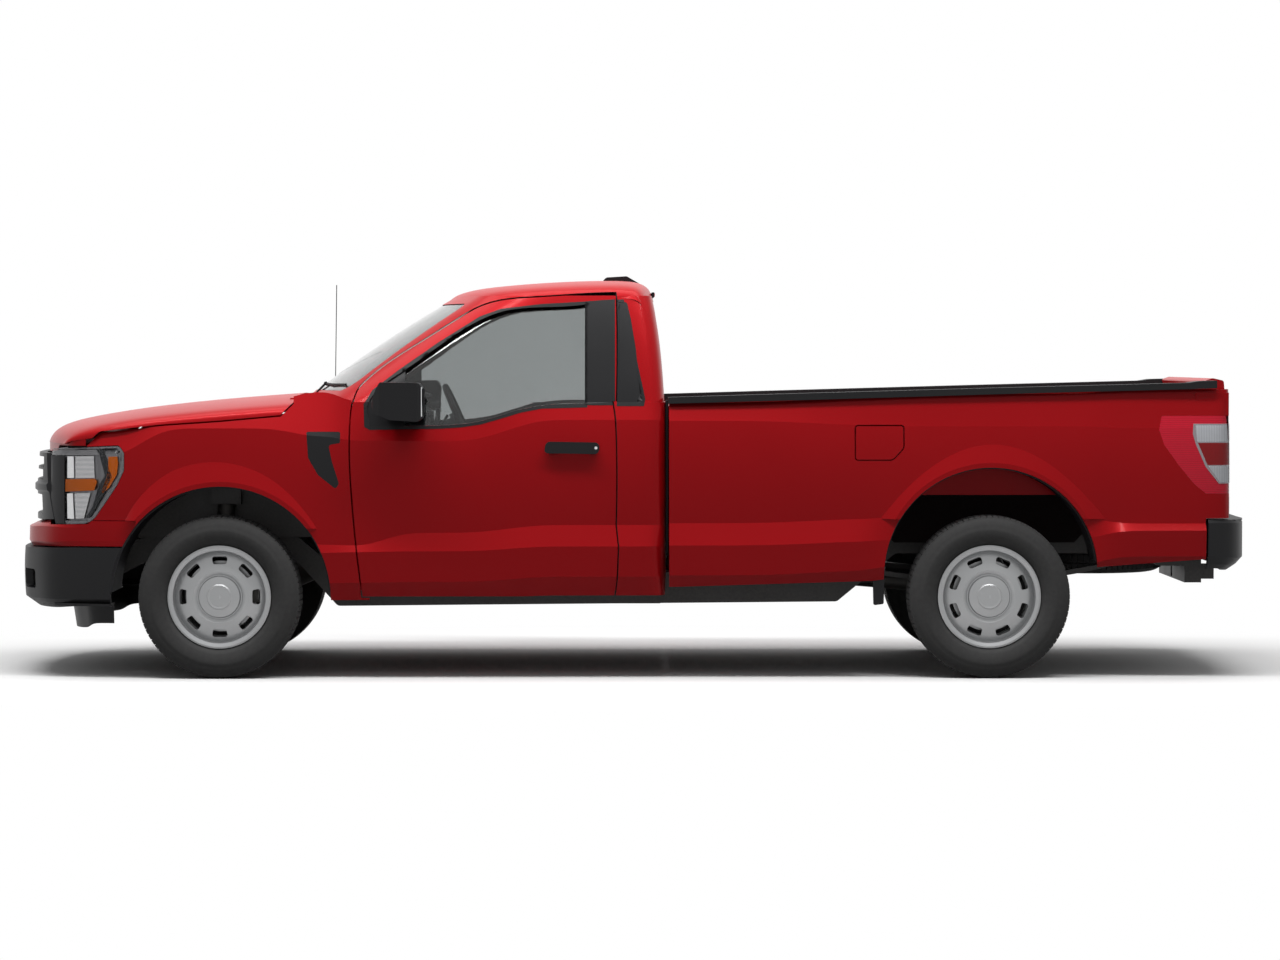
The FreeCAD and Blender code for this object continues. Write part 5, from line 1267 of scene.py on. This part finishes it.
instrument_hood = outline_plate("instrument_hood", HOOD_SHAPE, "xz", -530, -250)
put(smooth(bevelled(instrument_hood, 5, 3)), cab_plastic)
panel("instrument_face_plate", (860, -520, 1212), (924, -260, 1310), dials, 3, 4, 6)
panel("centre_screen", (930, -112, 1112), (966, 112, 1236), piano_black, 3, 2, 10)
for number, (y, z) in enumerate(((-690, 1206), (-178, 1190), (178, 1190), (690, 1206))):
    panel("air_vent_%d" % number, (935, y - 52, z - 30), (964, y + 52, z + 30), trim_black, 2, 8, 7)
    for row in range(3):
        foot = z - 17 + row * 15
        panel("vent_slat_%d_%d" % (number, row), (950, y - 46, foot), (961, y + 46, foot + 3),
              cab_plastic, 0.6)
panel("control_bank", (915, -112, 1010), (950, 112, 1096), trim_black, 4, 3, 6)
for y in (-70, 0, 70):
    knob = round_bar("control_knob_%d" % (y + 70), (944, y, 1052), (964, y, 1054), 17, 32)
    put(smooth(bevelled(knob, 2, 3)), piano_black)
panel("glovebox_lid", (900, 250, 1000), (949, 690, 1110), cab_plastic, 6, 2, 14)
print("a hood, a face, a screen, four vents, a bank with three knobs and a lid")

# %% [markdown]
# ## Stalks and pedals
# Two stalks stand out of the steering column, and two pedals hang from arms under the
# dashboard. Arms and stalks are tubes through three points; the pads are thin plates.

# %% Stalks and pedals
for name, points, radius in (
        ("indicator_stalk", ((1010, -415, 1160), (1020, -480, 1176), (1028, -548, 1190)), 6),
        ("shift_lever", ((1005, -365, 1160), (1020, -310, 1180), (1035, -262, 1214)), 7)):
    put(tube(name, [at(*point) for point in points], radius), trim_black)
for name, y, half in (("brake_pedal", -420, 48), ("throttle_pedal", -300, 26)):
    put(tube(name + "_arm", [at(720, y, 920), at(752, y, 820), at(742, y, 730)], 8), frame_steel)
    foot_pad = outline_plate(name, [(738, 676), (750, 674), (760, 744), (748, 746)], "xz", y - half, y + half)
    put(smooth(bevelled(foot_pad, 3, 2)), seal_rubber)
    print(name, len(foot_pad.data.polygons))

# %% [markdown]
# ## Door cards
# Inside, each door carries a moulded card with an armrest, a pull and a window switch. The
# ray helper finds the inner face of the door, and the armrest grows from it.

# %% Armrests
ARMREST = [(1090, 935), (1110, 985), (1560, 985), (1620, 960), (1600, 920), (1160, 900)]
PULL = ((1180, -1), (1188, 22), (1270, 22), (1278, -1))
inner_face = met("door_left", at(1350, -700, 960), (0, -1, 0)).y * 1000.0
armrest = outline_plate("armrest_left", ARMREST, "xz", inner_face - 2, inner_face + 72)
switches = block("window_switches_left", (1180, inner_face + 20, 984), (1290, inner_face + 58, 990))
pull = tube("inner_pull_left", [at(x, inner_face + off, 1092) for x, off in PULL], 6)
on_both_sides(smooth(bevelled(armrest, 14, 4)), cab_plastic, "door_left_body")
on_both_sides(bevelled(switches, 2, 2), piano_black, "door_left_body")
on_both_sides(pull, chrome, "door_left_body")
print("inner face of the door at", round(inner_face, 1))

# %% [markdown]
# ## Studio floor
# The floor reads as plain white to the camera, to glass and to gloss. For the light that
# spreads it is grey, so that little light reaches the body from below and the truck keeps
# a dark shadow under it. Away from the truck it glows, so that no edge of it shows.

# %% Floor
unselect()
bpy.ops.mesh.primitive_plane_add(size=160, location=(0, 0, 0))
floor = named("studio_floor")


def seen_directly(nodes):
    """1 for rays from the camera, a glossy surface or glass, else 0."""
    straight, glossy, through = (nodes.node("ShaderNodeLightPath", out="Is %s Ray" % kind)
                                 for kind in ("Camera", "Glossy", "Transmission"))
    return straight.larger(glossy).larger(through)


floor_paint = Paint("pale_floor", (0.9, 0.9, 0.9), 0.7, specular_ior_level=0.0)
direct = seen_directly(floor_paint)
floor_x, floor_y, floor_z = floor_paint.axes()
along, aside = floor_x * 0.27, floor_y * 0.55
far = (((along * along + aside * aside).root() - 0.9) * 1.6).clamped()
floor_paint.set("Base Color", floor_paint.blend(direct, (0.09, 0.09, 0.09), (0.9, 0.9, 0.9)))
plain = Value(floor_paint, floor_paint.shader.outputs[0])
glow = floor_paint.node("ShaderNodeEmission", None, {"Color": (1, 1, 1), "Strength": 1.0})
mixed = floor_paint.node("ShaderNodeMixShader", None, {0: direct * far, 1: plain, 2: glow})
floor_paint.feed(floor_paint.tree.nodes["Material Output"].inputs[0], mixed)
floor.data.materials.append(floor_paint.material)
print("floor", floor.dimensions)

# %% [markdown]
# ## Studio light
# Catalogue photographs of cars are lit from above: a wide soft box over the roof makes
# bright bands along the hood and the shoulders, and the sides fall off to a deep colour.
# The world is white to the camera, and for the light that spreads it fades towards the
# horizon, as the walls of a dark hall do.

# %% Lights and world


def soft_light(name, place, target, size, power):
    """A rectangular lamp that looks at a target."""
    lamp = added(name, bpy.data.lights.new(name, "AREA"))
    lamp.data.energy = power
    lamp.data.shape = "RECTANGLE"
    lamp.data.size, lamp.data.size_y = size
    lamp.location = place
    lamp.rotation_euler = (Vector(target) - Vector(place)).to_track_quat("-Z", "Y").to_euler()


soft_light("overhead_softbox", (0, 0.1, 5.4), (0, 0.1, 0), (8.5, 2.2), 210)
soft_light("side_softbox", (-0.4, -3.1, 7.4), (0, -0.9, 0.8), (9.5, 0.6), 520)

world = bpy.data.worlds.new("studio")
world.use_nodes = True
bpy.context.scene.world = world
sky = Nodes(world.node_tree)
height = sky.parts(sky.node("ShaderNodeTexCoord", out="Generated"))[2]
upward = sky.node("ShaderNodeMapRange", None,
                  {"Value": height, "From Min": -0.1, "From Max": 1.0, "To Min": 0.02, "To Max": 0.5})
strength = sky.node("ShaderNodeMix", {"data_type": "FLOAT"}, {0: seen_directly(sky), 2: upward, 3: 1.0})
background = sky.tree.nodes["Background"]
sky.feed(background.inputs["Color"], (1, 1, 1))
sky.feed(background.inputs["Strength"], strength)
bpy.context.scene.view_settings.view_transform = "Standard"
print("two soft boxes and a sky")
